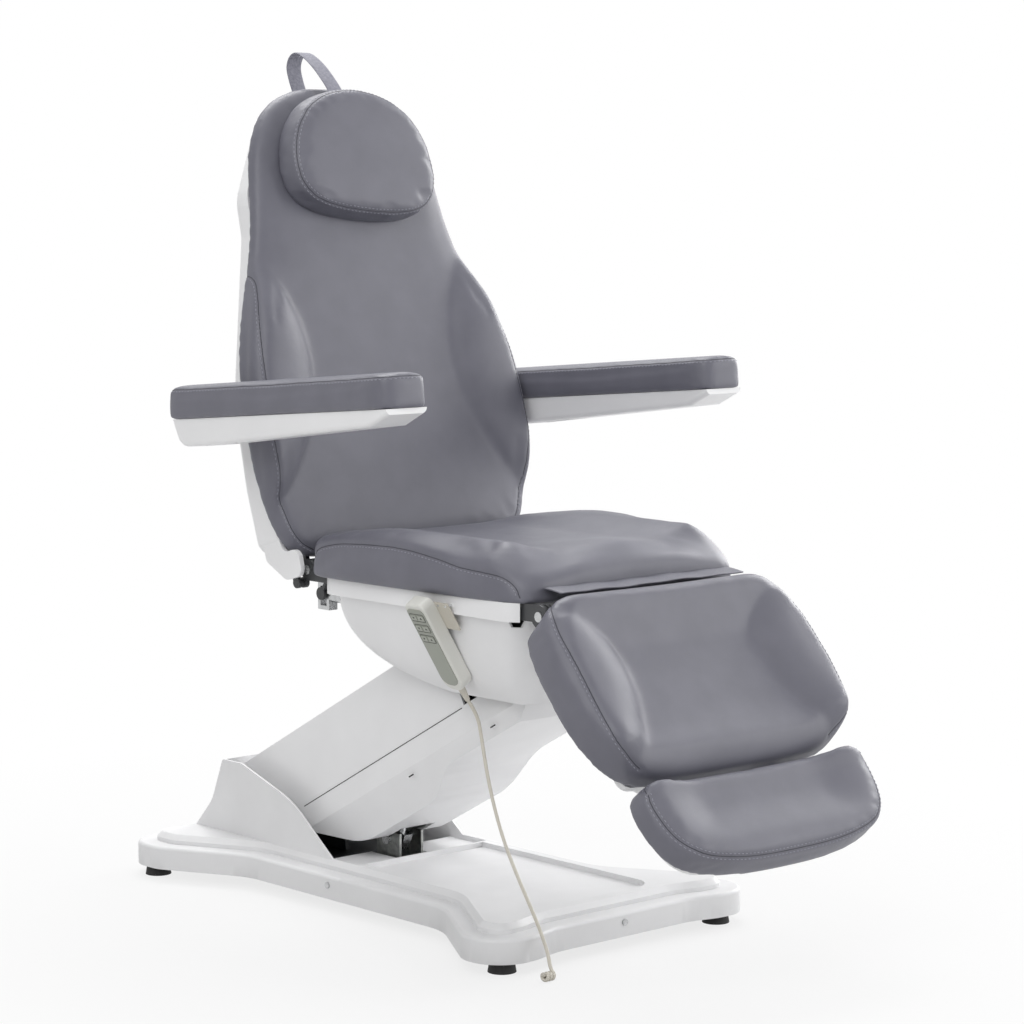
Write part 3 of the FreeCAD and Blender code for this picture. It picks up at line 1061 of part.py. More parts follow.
def handset():
    case = prism("YZ_Plane", [("-set_half", "0"), ("set_half", "0"), ("set_half", "set_length"),
                              ("-set_half", "set_length")], "-set_thick", "0")
    rounded(case, "set_corner", corners_at("set_half", "set_length"))
    rounded(case, "set_chin", corners_at("set_half", None))
    doc.recompute()
    rounded(case, "set_edge", lies_at(X_AXIS, -size("set_thick")))
    wells = []
    windows = []
    for count, (across, up) in enumerate(key_spots(), start=1):
        span = ("%s - key_width / 2" % across, "%s + key_width / 2" % across)
        rise = ("%s - key_height / 2" % up, "%s + key_height / 2" % up)
        loose_span = ("%s - key_width / 2 - key_clear" % across, "%s + key_width / 2 + key_clear" % across)
        loose_rise = ("%s - key_height / 2 - key_clear" % up, "%s + key_height / 2 + key_clear" % up)
        wells.append(block(("-set_thick - face_thick", "key_well - set_thick"), loose_span, loose_rise))
        windows.append(block(("-set_thick - face_thick * 2", "0"), loose_span, loose_rise))
        corners = [(span[0], rise[0]), (span[1], rise[0]), (span[1], rise[1]), (span[0], rise[1])]
        key = prism("YZ_Plane", corners,
                    "-set_thick - face_thick - key_rise", "key_depth - set_thick")
        rounded(key, "key_rise", runs_along(X_AXIS))
        named("key_%d" % count, key, **HANDSET)
    named("handset_shell", carved(case, wells), **HANDSET)
    face = prism("YZ_Plane", [("-face_half", "face_low"), ("face_half", "face_low"),
                              ("face_half", "face_high"), ("-face_half", "face_high")],
                 "-set_thick - face_thick", "-set_thick")
    rounded(face, "face_corner", corners_at("face_half", "face_high"))
    rounded(face, "face_chin", corners_at("face_half", "face_low"))
    named("handset_panel", carved(face, windows), **HANDSET)
    relief = doc.addObject("Part::Cone", "relief")
    bind(relief, Radius1="relief_tip", Radius2="relief_wide", Height="relief_length",
         Placement__Base__x="-set_thick / 2", Placement__Base__z="-relief_length")
    named("cord_relief", joined([relief]), **HANDSET)
    plate = block(("pillow_gap", "pillow_gap + hanger_thick"), ("-hanger_front", "hanger_rear"),
                  ("hanger_low", "hanger_high"))
    named("handset_hanger", joined([plate]), **HANDSET)


def hanger_clips():
    """Two wire hooks between the hanger plate and the band of the pan."""
    drop = "(clip_z - set_z) / cos(set_tilt)"
    plate_x = "-set_x - (%s) * sin(set_tilt)" % drop
    clips = [bar("x", "clip_radius", plate_x, "-pan_half", along, "clip_z")
             for along in ("-set_y - clip_first", "-set_y - clip_first - clip_pitch")]
    named("hanger_clips", joined(clips))


# Handset cord: straight runs joined by arcs, and the curl that lies on the floor

CORD_POINTS = [(-150, -287, 376), (-146, -292, 340), (-150, -308, 290), (-159, -336, 236),
               (-170, -374, 182), (-182, -423, 130), (-198, -480, 80), (-214, -523, 42), (-222, -539, 18)]


def cord_start():
    """Tip of the strain relief."""
    tilt = math.radians(size("set_tilt"))
    depth, drop = size("set_thick") / 2, size("relief_length")
    return FreeCAD.Vector(drop * math.sin(tilt) - depth * math.cos(tilt) - size("set_x"), -size("set_y"),
                          size("set_z") - drop * math.cos(tilt) - depth * math.sin(tilt))


def cord_path(points):
    """A wire of runs and tangent arcs; each arc is as large as its two runs allow."""
    edges = []
    start = points[0]
    radii = []
    for before, corner, after in zip(points, points[1:], points[2:]):
        to_corner, to_next = corner - before, after - corner
        turn = to_corner.getAngle(to_next)
        trim = 0.45 * min(to_corner.Length, to_next.Length)
        radii.append(trim / math.tan(turn / 2))
        entry = corner - to_corner.normalize() * trim
        leave = corner + to_next.normalize() * trim
        bisector = (entry + leave) * 0.5 - corner
        sag = radii[-1] * (1 / math.cos(turn / 2) - 1)
        middle = corner + bisector.normalize() * sag
        edges.append(Part.LineSegment(start, entry).toShape())
        edges.append(Part.Arc(entry, middle, leave).toShape())
        start = leave
    edges.append(Part.LineSegment(start, points[-1]).toShape())
    return Part.Wire(edges), radii


def handset_cord():
    points = [cord_start()] + [FreeCAD.Vector(*point) for point in CORD_POINTS]
    wire, radii = cord_path(points)
    direction = points[1] - points[0]
    ring = Part.Wire([Part.makeCircle(size("cord_radius"), points[0], direction)])
    tube = wire.makePipeShell([ring], True, True)
    expected = math.pi * size("cord_radius") ** 2 * wire.Length
    print("cord length %.0f, radii %s, volume ratio %.4f" % (
        wire.Length, [round(radius) for radius in radii], tube.Volume / expected))
    cord = doc.addObject("Part::Feature", "cord")
    cord.Shape = tube
    named("handset_cord", cord)
    end = points[-1]
    tip = FreeCAD.Vector(end.x - size("curl_length") / 2, end.y, size("curl_radius"))
    curl = Part.makeCylinder(size("curl_radius"), size("curl_length"), tip, X_AXIS)
    coil = doc.addObject("Part::Feature", "curl")
    coil.Shape = curl
    named("cord_curl", coil)


def export():
    doc.recompute()
    broken = [thing.Label for thing in doc.Objects if {"Invalid", "Error"} & set(thing.State)]
    for piece in pieces:
        if piece.Shape.isNull() or not piece.Shape.isValid():
            broken.append(piece.Label)
    if broken:
        raise RuntimeError("failed: " + ", ".join(broken))
    os.makedirs("parts", exist_ok=True)
    for piece in pieces:
        piece.Shape.exportStep("parts/%s.step" % piece.Label)
    whole = FreeCAD.BoundBox()
    for piece in pieces:
        whole.add(piece.Shape.BoundBox)
    print("%d pieces, box %s" % (len(pieces), whole))


base_covers()
fixings()
power_inlet()
chassis()
lift_anchor()
control_box()
arm_beam()
arm_upper_cover()
arm_lower_cover()
level_link()
lift_motor()
seat_motors()
seat_frame()
seat_pan()
seat_pad()
hinge_pins()
back_frame()
back_shell()
back_pad()
pillow()
armrests()
leg_rest()
foot_rest()
handset()
hanger_clips()
handset_cord()
export()
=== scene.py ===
# %% [markdown]
# # An electric facial bed
# The bed has a white moulded base, a lift arm, and grey upholstered sections.  The measured frame
# already holds every piece at its place.  This lesson adds what the eye sees: soft pads with seams and
# stitches, moulded covers with rounded edges, a handset with its cord, and a finish for each surface.

# %% Load the frame
import json
import math

import bmesh
import bpy
import numpy as np
from mathutils.bvhtree import BVHTree
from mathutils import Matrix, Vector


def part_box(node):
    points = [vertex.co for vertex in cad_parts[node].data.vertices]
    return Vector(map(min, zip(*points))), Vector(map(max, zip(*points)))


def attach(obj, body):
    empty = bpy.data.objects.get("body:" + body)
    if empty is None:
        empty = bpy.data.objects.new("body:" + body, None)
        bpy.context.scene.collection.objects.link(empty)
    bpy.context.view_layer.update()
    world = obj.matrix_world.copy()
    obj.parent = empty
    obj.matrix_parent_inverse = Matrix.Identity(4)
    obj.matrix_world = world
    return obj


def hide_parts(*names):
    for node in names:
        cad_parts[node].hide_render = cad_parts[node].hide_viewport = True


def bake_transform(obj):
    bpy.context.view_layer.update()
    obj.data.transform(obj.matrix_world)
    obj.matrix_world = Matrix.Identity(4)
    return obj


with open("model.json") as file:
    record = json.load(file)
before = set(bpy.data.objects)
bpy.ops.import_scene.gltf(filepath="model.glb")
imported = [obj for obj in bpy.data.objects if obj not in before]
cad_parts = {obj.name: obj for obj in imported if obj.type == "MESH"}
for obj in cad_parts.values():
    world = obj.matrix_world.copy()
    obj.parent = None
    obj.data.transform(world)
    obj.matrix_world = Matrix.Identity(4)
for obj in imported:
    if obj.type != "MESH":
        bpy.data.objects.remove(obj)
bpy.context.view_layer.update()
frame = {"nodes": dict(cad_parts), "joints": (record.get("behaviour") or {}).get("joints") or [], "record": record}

MM = 0.001
NODES = frame["nodes"]
HINGES = {joint["name"]: np.array(joint.get("pos_m", (0, 0, 0))) for joint in frame["joints"]}
SIDES = (("left", -1), ("right", 1))

# %% [markdown]
# ## Camera
# The camera was fitted to the photograph: it stands in front of the bed's left side and looks down a
# little.  A focal length in pixels becomes a lens in millimetres once the sensor's width is chosen.

# %% Camera
CAMERA_SPOT = (-3.3087, -3.6950, 1.2097)
CAMERA_TURN = -42.163
CAMERA_DROP = 6.062
FOCAL_PIXELS = 2999.4
FRAME_PIXELS = 1024
SENSOR_MM = 36
camera_data = bpy.data.cameras.new("camera")
camera_data.sensor_width = SENSOR_MM
camera_data.lens = FOCAL_PIXELS * SENSOR_MM / FRAME_PIXELS
camera = bpy.data.objects.new("camera", camera_data)
camera.location = CAMERA_SPOT
camera.rotation_euler = (math.radians(90 - CAMERA_DROP), 0, math.radians(CAMERA_TURN))
bpy.context.scene.collection.objects.link(camera)
bpy.context.scene.camera = camera
bpy.context.scene.view_settings.view_transform = "Standard"
print("lens", round(camera_data.lens, 2), "mm")

# %% [markdown]
# ## Surfaces from arrays
# Every new piece is a surface worked out as whole arrays.  A grid of points becomes quads, and a
# closed outline becomes a smooth loop.  Each piece is then placed with its part of the bed, which may
# be tilted about its hinge.

# %% Helpers for surfaces
FINE_STEPS = 40
LOOP_POINTS = 240
MERGE_METRES = 1e-6
NEARLY_UPRIGHT = 0.9


def smooth_step(low, high, value):
    """Ease from 0 at low to 1 at high: 3 t^2 - 2 t^3."""
    share = np.clip((value - low) / (high - low), 0, 1)
    return share * share * (3 - 2 * share)


def through(points, count, closed=True):
    """A smooth curve through points (Catmull-Rom), resampled to even spacing along its length."""
    knots = np.asarray(points, float)
    if closed:
        knots = np.concatenate([knots[-1:], knots, knots[:2]])
    else:
        knots = np.concatenate([2 * knots[:1] - knots[1:2], knots, 2 * knots[-1:] - knots[-2:-1]])
    spans = len(knots) - 3
    fine = np.linspace(0, spans, spans * FINE_STEPS, endpoint=False)
    spot = fine.astype(int)
    t = (fine - spot)[:, None]
    a, b, c, d = (knots[spot + shift] for shift in range(4))
    curve = 0.5 * (2 * b + (c - a) * t + (2 * a - 5 * b + 4 * c - d) * t**2
                   + (3 * b - a - 3 * c + d) * t**3)
    curve = np.concatenate([curve, knots[-2:-1]])
    steps = np.linalg.norm(np.diff(curve, axis=0), axis=1)
    length = np.concatenate([[0], np.cumsum(steps)])
    wanted = np.linspace(0, length[-1], count, endpoint=not closed)
    return np.stack([np.interp(wanted, length, axis) for axis in curve.T], -1)


def outlined(half, count=LOOP_POINTS):
    """A smooth closed outline from its right half, listed from the middle of one end to the other."""
    right = np.asarray(half, float)
    left = right[-2:0:-1] * (-1, 1)
    return through(np.concatenate([right, left]), count)


def turned(points, tilt):
    """Points turned about X by tilt degrees."""
    cos, sin = math.cos(math.radians(tilt)), math.sin(math.radians(tilt))
    x, y, z = np.moveaxis(np.asarray(points, float), -1, 0)
    return np.stack([x, y * cos - z * sin, y * sin + z * cos], -1)


def placed(points, origin, tilt=0.0):
    """Points in a piece's own millimetres, turned about X and carried to its hinge."""
    return turned(np.asarray(points, float) * MM, tilt) + origin


def mesh_object(name, points, faces, smooth=True):
    """A new object at the origin, its place in its mesh, with its faces turned outwards."""
    mesh = bpy.data.meshes.new(name)
    mesh.from_pydata(np.reshape(points, (-1, 3)).tolist(), [], faces)
    tidy = bmesh.new()
    tidy.from_mesh(mesh)
    bmesh.ops.remove_doubles(tidy, verts=tidy.verts, dist=MERGE_METRES)
    bmesh.ops.recalc_face_normals(tidy, faces=tidy.faces)
    tidy.to_mesh(mesh)
    tidy.free()
    mesh.polygons.foreach_set("use_smooth", np.full(len(mesh.polygons), smooth))
    piece = bpy.data.objects.new(name, mesh)
    bpy.context.scene.collection.objects.link(piece)
    return piece


def grid_faces(rows, columns, around=True, capped=True):
    """Quads over a grid; the columns may close round, and the first and last rows may be capped."""
    index = np.arange(rows * columns).reshape(rows, columns)
    wrapped = np.concatenate([index, index[:, :1]], 1) if around else index
    corners = [wrapped[:-1, :-1], wrapped[:-1, 1:], wrapped[1:, 1:], wrapped[1:, :-1]]
    faces = np.stack(corners, -1).reshape(-1, 4).tolist()
    if capped:
        faces += [index[0].tolist(), index[-1].tolist()]
    return faces


def skin(name, grid, around=True, capped=True, smooth=True):
    """A piece from a grid of points: rows x columns x 3."""
    rows, columns, _ = grid.shape
    return mesh_object(name, grid, grid_faces(rows, columns, around, capped), smooth)


def tangents(path, closed=False):
    """Unit directions along a path; a closed path has the same direction at its two ends."""
    along = np.roll(path, -1, 0) - np.roll(path, 1, 0) if closed else np.gradient(path, axis=0)
    return along / np.linalg.norm(along, axis=1, keepdims=True)


def tube_grid(path, radius, sides=8, closed=False):
    """A round section carried along a path: two directions square to the path span each ring."""
    along = tangents(path, closed)
    helper = np.where(np.abs(along[:, 2:]) < NEARLY_UPRIGHT, (0.0, 0.0, 1.0), (1.0, 0.0, 0.0))
    first = np.cross(along, helper)
    first /= np.linalg.norm(first, axis=1, keepdims=True)
    second = np.cross(along, first)
    turn = np.linspace(0, 2 * np.pi, sides, endpoint=False)[None, :, None]
    grid = path[:, None] + radius * (first[:, None] * np.cos(turn) + second[:, None] * np.sin(turn))
    return np.concatenate([grid, grid[:1]]) if closed else grid


# %% [markdown]
# ## Finishes
# A finish starts from what the real surface is.  One small function adds a node with its settings and
# links, and one function turns written sRGB colours into the linear values that a shader needs.  The
# patterns read Object coordinates, which are metres here, so a grain of one millimetre has scale 1000.


# %% Helpers for finishes
def linear(colour):
    """Linear RGBA from an sRGB hex value."""
    srgb = np.array([int(colour[start:start + 2], 16) / 255 for start in (1, 3, 5)])
    values = np.where(srgb <= 0.04045, srgb / 12.92, ((srgb + 0.055) / 1.055) ** 2.4)
    return (*values.tolist(), 1.0)


def add(tree, kind, sockets=None, **settings):
    """One node: its settings, and for each input a value or a link given as (node, output)."""
    made = tree.nodes.new("ShaderNode" + kind)
    for name, value in settings.items():
        setattr(made, name, value)
    for name, value in (sockets or {}).items():
        if isinstance(value, tuple) and isinstance(value[0], bpy.types.Node):
            tree.links.new(value[0].outputs[value[1]], made.inputs[name])
        else:
            made.inputs[name].default_value = value
    return made


def new_finish(name, **shader):
    """A material with one shader; the shader's even values are set on its own sockets."""
    material = bpy.data.materials.new(name)
    material.use_nodes = True
    tree = material.node_tree
    surface = tree.nodes["Principled BSDF"]
    for socket, value in shader.items():
        surface.inputs[socket.replace("_", " ")].default_value = value
    return material, tree, surface


def pattern(tree, kind, where, size, sockets=None, **settings):
    """A texture whose features are so many millimetres across."""
    place = {"Vector": (where, "Object"), "Scale": 1 / (size * MM)}
    return add(tree, "Tex" + kind, {**place, **(sockets or {})}, **settings)


def mottled(tree, surface, colour, other, size):
    """Base colour that drifts between two close tones over patches of a given size."""
    where = add(tree, "TexCoord")
    noise = pattern(tree, "Noise", where, size, {"Detail": 3.0})
    ramp = add(tree, "ValToRGB", {"Fac": (noise, "Fac")})
    for stop, place, tone in zip(ramp.color_ramp.elements, (0.35, 0.65), (colour, other)):
        stop.position = place
        stop.color = linear(tone)
    tree.links.new(ramp.outputs["Color"], surface.inputs["Base Color"])
    return where


def drifting_gloss(tree, surface, where, size, low, high):
    """Roughness that wanders between two values over patches of a given size."""
    noise = pattern(tree, "Noise", where, size, {"Detail": 2.0})
    span = add(tree, "MapRange", {"Value": (noise, "Fac"), "To Min": low, "To Max": high})
    tree.links.new(span.outputs["Result"], surface.inputs["Roughness"])


def bumped(tree, surface, height, depth):
    """Relief of a given depth in millimetres from a height between 0 and 1."""
    relief = add(tree, "Bump", {"Height": height, "Distance": depth * MM, "Strength": 1.0})
    tree.links.new(relief.outputs["Normal"], surface.inputs["Normal"])


# %% Finishes of the bed
def leatherette():
    """Calendered vinyl on a knitted back: soft sheen, fine embossed grain, tones that drift a little.
    The real grain is near 0.8 mm; it is drawn at 1.6 mm so that it shows."""
    material, tree, surface = new_finish("leatherette_grey_vinyl", IOR=1.5)
    where = mottled(tree, surface, "#666670", "#6b6b75", 60)
    drifting_gloss(tree, surface, where, 25, 0.40, 0.48)
    cells = pattern(tree, "Voronoi", where, 1.6, feature="DISTANCE_TO_EDGE")
    folds = add(tree, "MapRange", {"Value": (cells, "Distance"), "From Max": 0.25})
    bumped(tree, surface, (folds, "Result"), 0.06)
    return material


def thread():
    """Bonded polyester sewing thread, a shade lighter than the vinyl."""
    material, tree, surface = new_finish("thread_grey_polyester", IOR=1.5, Roughness=0.6)
    where = mottled(tree, surface, "#888892", "#94949e", 3)
    twist = pattern(tree, "Wave", where, 4, bands_direction="DIAGONAL")
    bumped(tree, surface, (twist, "Fac"), 0.1)
    return material


def seam_shadow():
    """The turned-in edge of the vinyl at a seam: the same sheet, in painted shade, darker where light doesn't
    reach.
    """
    material, tree, surface = new_finish("seam_vinyl_painted_shade", IOR=1.5, Roughness=0.6)
    where = mottled(tree, surface, "#35353d", "#3e3e46", 20)
    grain = pattern(tree, "Noise", where, 1.6)
    bumped(tree, surface, (grain, "Fac"), 0.05)
    return material


def moulded(name, colour, other, gloss, grain, depth, patch=120, gloss_patch=40, ior=1.53):
    """A moulded or coated surface: tones that drift over patches, gloss that wanders, and a fine noise
    for the tool's spark texture, the rubber's grit or the orange peel of a cured paint."""
    material, tree, surface = new_finish(name, IOR=ior)
    where = mottled(tree, surface, colour, other, patch)
    drifting_gloss(tree, surface, where, gloss_patch, *gloss)
    texture = pattern(tree, "Noise", where, grain, {"Detail": 2.0})
    bumped(tree, surface, (texture, "Fac"), depth)
    return material


def galvanised_steel():
    """Hot-dipped zinc: grey metal with frost-like spangle of about 9 mm."""
    material, tree, surface = new_finish("steel_galvanised", Metallic=1.0)
    where = mottled(tree, surface, "#8d8f8d", "#a9aba8", 9)
    spangle = pattern(tree, "Voronoi", where, 9)
    span = add(tree, "MapRange", {"Value": (spangle, "Distance"), "To Min": 0.32, "To Max": 0.5})
    tree.links.new(span.outputs["Result"], surface.inputs["Roughness"])
    return material


def turned_steel():
    """Bright turned steel with the rings of the cut.  The wave repeats every 0.314 of its scale, so the
    rings are 5 mm apart: coarser than a real cut, so that they show."""
    material, tree, surface = new_finish("steel_bright_turned", Metallic=1.0)
    where = mottled(tree, surface, "#b4b5b6", "#c4c5c6", 15)
    drifting_gloss(tree, surface, where, 4, 0.22, 0.34)
    rings = pattern(tree, "Wave", where, 16, bands_direction="X")
    bumped(tree, surface, (rings, "Fac"), 0.02)
    return material


def chrome():
    """Polished chromium plate over steel."""
    material, tree, surface = new_finish("chrome_polished", Metallic=1.0)
    where = mottled(tree, surface, "#d6d7d8", "#e0e1e2", 30)
    drifting_gloss(tree, surface, where, 10, 0.06, 0.12)
    return material


def webbing():
    """Woven strap: diagonal ribs of yarn.  Real yarn is about 1.6 mm apart; these ribs are about 3.5 mm
    apart so that they show."""
    material, tree, surface = new_finish("webbing_grey_woven", IOR=1.5, Roughness=0.75)
    where = mottled(tree, surface, "#7d7d88", "#8e8e99", 5)
    ribs = pattern(tree, "Wave", where, 9.6, {"Distortion": 0.6}, bands_direction="DIAGONAL")
    bumped(tree, surface, (ribs, "Fac"), 0.3)
    return material


def printed_ink():
    """Screen-printed ink on the handset: matt, dark, a little uneven."""
    material, tree, surface = new_finish("ink_dark_printed", IOR=1.5, Roughness=0.7)
    mottled(tree, surface, "#3a3c39", "#454744", 4)
    return material


# The white plastics are ABS: the tool's fine spark texture breaks up their gloss.  The rubber is matt with
# a dusty bloom, and the frames' cured paint has an orange peel of about 2 mm.
FINISHES = {
    "grey_leatherette": leatherette(),
    "thread": thread(),
    # The seam finish is painted shade: a dark grey for the shade in a seam's crease.
    "seam": seam_shadow(),
    "ink": printed_ink(),
    "white_plastic": moulded("abs_white_satin", "#ebebec", "#efeff0", (0.3, 0.4), 1.2, 0.01),
    "base_plastic": moulded("abs_white_textured", "#e1e1e2", "#e6e6e7", (0.42, 0.55), 1.5, 0.05),
    "handset_plastic": moulded("abs_off_white", "#d9d9d3", "#dfdfd9", (0.35, 0.45), 1.2, 0.02),
    "black_rubber": moulded("rubber_black_moulded", "#151515", "#1f1f1f", (0.6, 0.8), 1.5, 0.08, 12, 6, 1.5),
    "galvanised": galvanised_steel(),
    "bright_steel": turned_steel(),
    "chrome": chrome(),
    "steel_frame": moulded("steel_dark_powder_coat", "#3a3b3d", "#424345", (0.38, 0.5), 2, 0.05, 40, 20, 1.5),
    "black_plastic": moulded("abs_black_textured", "#1a1a1b", "#212122", (0.45, 0.6), 1.5, 0.06),
    "strap_webbing": webbing(),
    "grey_panel": moulded("polyester_grey_overlay", "#989b91", "#9ea197", (0.35, 0.45), 1.0, 0.01),
    "key_plastic": moulded("polyester_grey_keys", "#a3a69c", "#a9aca2", (0.35, 0.45), 1.0, 0.01),
    "beige_plastic": moulded("pvc_beige_soft", "#c9c4b8", "#d2cdc2", (0.4, 0.5), 1.5, 0.02),
}


def give(piece, finish):
    """Put one finish on a piece."""
    piece.data.materials.clear()
    piece.data.materials.append(FINISHES[finish])


def fitted(piece, finish, body, *nodes, slot=None):
    """Finish a piece, attach it to the body it moves with, and hide the measured nodes it stands for.  The slot is
    not used.
    """
    give(piece, finish)
    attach(piece, body)
    if nodes:
        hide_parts(*nodes)


for subpart in frame["record"]["subparts"]:
    give(NODES[subpart["node"]], subpart["material_slot"])
for node in ("base_front_cover", "base_rear_cover"):
    give(NODES[node], "base_plastic")
give(NODES["handset_shell"], "handset_plastic")
print("finishes", len(FINISHES))

# %% [markdown]
# ## Rounded edges
# No moulded or pressed edge is sharp.  The measured pieces are loose triangles, so their points are
# first welded, and then every sharp edge gets a small round that catches a line of light.

# %% Rounded edges
EDGE_ROUND = {"white_plastic": 1.6, "steel_frame": 0.8, "black_plastic": 0.8, "beige_plastic": 0.5,
              "galvanised": 0.6, "black_rubber": 1.2}
SHARP_ANGLE = 40
WELD = 0.01
EDGE_SEGMENTS = 2
ROUND_ALREADY = ("seat_pan", "handset_shell", "handset_cord", "cord_curl", "cord_relief")
for subpart in frame["record"]["subparts"]:
    width = EDGE_ROUND.get(subpart["material_slot"])
    if width is None or subpart["node"] in ROUND_ALREADY:
        continue
    node = NODES[subpart["node"]]
    weld = node.modifiers.new("weld", "WELD")
    weld.merge_threshold = WELD * MM
    bevel = node.modifiers.new("edge", "BEVEL")
    bevel.width = width * MM
    bevel.segments = EDGE_SEGMENTS
    bevel.limit_method = "ANGLE"
    bevel.angle_limit = math.radians(SHARP_ANGLE)
    bevel.harden_normals = True
print("edges rounded on", sum(len(node.modifiers) > 0 for node in NODES.values()), "nodes")

# %% [markdown]
# ## Handset cord
# A slim flexible cord leaves the handset's strain relief, hangs down the side and ends in a small curl
# on the floor.  Its line is one smooth spline: the hanging stretch is a list of points, and the curl is
# a helix worked out by a formula.

# %% Handset cord
CORD_DIAMETER = 6.0
CORD_ROUTE = [(-170.3, -123, 401.9), (-150, -124, 376), (-146, -129, 340), (-150, -145, 290),
              (-159, -173, 236), (-170, -211, 182), (-182, -260, 130), (-198, -317, 80), (-214, -360, 42),
              (-221, -373, 20)]
CURL_MIDDLE = (-376.0, 8.0)
CURL_RADIUS = 5.0
CURL_TURNS = 3
CURL_STEPS = 14
CURL_SPAN = (-219.0, -238.0)
CURL_FIRST = math.radians(130)

curl_share = np.linspace(0, 1, CURL_STEPS * CURL_TURNS)
curl_angle = CURL_FIRST + 2 * np.pi * CURL_TURNS * curl_share
curl = np.column_stack([CURL_SPAN[0] + (CURL_SPAN[1] - CURL_SPAN[0]) * curl_share,
                        CURL_MIDDLE[0] + CURL_RADIUS * np.cos(curl_angle),
                        CURL_MIDDLE[1] + CURL_RADIUS * np.sin(curl_angle)])
cord_points = np.concatenate([np.array(CORD_ROUTE), curl]) * MM
cord_curve = bpy.data.curves.new("handset_lead", "CURVE")
cord_curve.dimensions = "3D"
cord_curve.bevel_depth = CORD_DIAMETER / 2 * MM
cord_curve.bevel_resolution = 3
cord_curve.resolution_u = 8
cord_curve.use_fill_caps = True
line = cord_curve.splines.new("NURBS")
line.points.add(len(cord_points) - 1)
line.points.foreach_set("co", np.column_stack([cord_points, np.ones(len(cord_points))]).ravel())
line.order_u = 3
line.use_endpoint_u = True
cord = bpy.data.objects.new("handset_lead", cord_curve)
bpy.context.scene.collection.objects.link(cord)
fitted(cord, "beige_plastic", "seat", "handset_cord", "cord_curl")
print("cord of", len(cord_points), "points")

# %% [markdown]
# ## Padded sections
# A pad is foam on a board, wrapped in vinyl.  Its face is a height over a flat outline, its edge a
# quarter ellipse, and its side a straight band down to the board.  The closed form is remeshed evenly,
# then a cloth simulation with a little air pressure lets the vinyl crown between its held edges.

# %% Pad outline to closed form
FACE_RINGS = 30
BACK_RINGS = 14
CORE_SHARE = 0.02
EDGE_STEPS = np.linspace(0, np.pi / 2, 7)
BACK_STEPS = EDGE_STEPS[2::2]
SIDE_SHARES = np.array([0.75, 0.5, 0.25, 0.0])[:, None]


def flat(level):
    """A pad's back that lies in one plane."""
    return lambda x, y: np.full_like(x, level)


def pad_grid(outline, face, behind, edge, back_edge=6.0):
    """Rings from the middle of the face, over the rounded edge, down the side and across the back.
    A ring lies a share of the way from the outline's middle to the outline.  The face and the back give
    heights; the edge falls along a quarter ellipse, by no more than half of the thickness there."""
    middle = outline.mean(0)
    arms = outline - middle
    reach = np.linalg.norm(arms, axis=1)
    face_share = np.linspace(CORE_SHARE, 1, FACE_RINGS)[:-1, None] * (1 - edge / reach)
    edge_share = 1 - edge * (1 - np.sin(EDGE_STEPS))[:, None] / reach
    side_share = np.ones((len(SIDE_SHARES), len(reach)))
    back_share = 1 - back_edge * (1 - np.cos(BACK_STEPS))[:, None] / reach
    inner_share = np.linspace(1, CORE_SHARE, BACK_RINGS)[1:, None] * (1 - back_edge / reach)
    blocks = [face_share, edge_share, side_share, back_share, inner_share]
    x, y = (middle[:, None, None] + np.concatenate(blocks) * arms.T[:, None])
    top, under = face(x, y), behind(x, y)
    spans = np.split(np.arange(len(x)), np.cumsum([len(block) for block in blocks])[:-1])
    rim_under = under[spans[2][0]] + back_edge
    fall = np.minimum(edge, 0.5 * (top[spans[1][-1]] - rim_under))
    z = np.where(np.arange(len(x))[:, None] < spans[2][0], top, under)
    z[spans[1]] -= fall * (1 - np.cos(EDGE_STEPS))[:, None]
    z[spans[2]] = rim_under + (z[spans[1][-1]] - rim_under) * SIDE_SHARES
    z[spans[3]] += back_edge * (1 - np.sin(BACK_STEPS))[:, None]
    return np.stack([x, y, z], -1)


# %% Closed form to upholstered pad
VOXEL = 6.0
SIM_FRAMES = 20
PRESSURE = 4.0
CLOTH_QUALITY = 4
SMOOTH_FACTOR = 0.5
SMOOTH_TIMES = 8


def bolster(beyond, foot, wide, high):
    """A roll along a side: a parabola over the width beyond its foot line, eased in at the foot."""
    climb = np.clip(beyond / wide, 0, 1)
    return smooth_step(*foot, beyond) * high * climb * (2 - climb)


def points_of(mesh):
    """All points of a mesh as an array."""
    values = np.empty(len(mesh.vertices) * 3)
    mesh.vertices.foreach_get("co", values)
    return values.reshape(-1, 3)


def baked(piece):
    """Put a piece's modifiers into its mesh."""
    graph = bpy.context.evaluated_depsgraph_get()
    done = bpy.data.meshes.new_from_object(piece.evaluated_get(graph))
    piece.modifiers.clear()
    old = piece.data
    piece.data = done
    bpy.data.meshes.remove(old)
    return piece


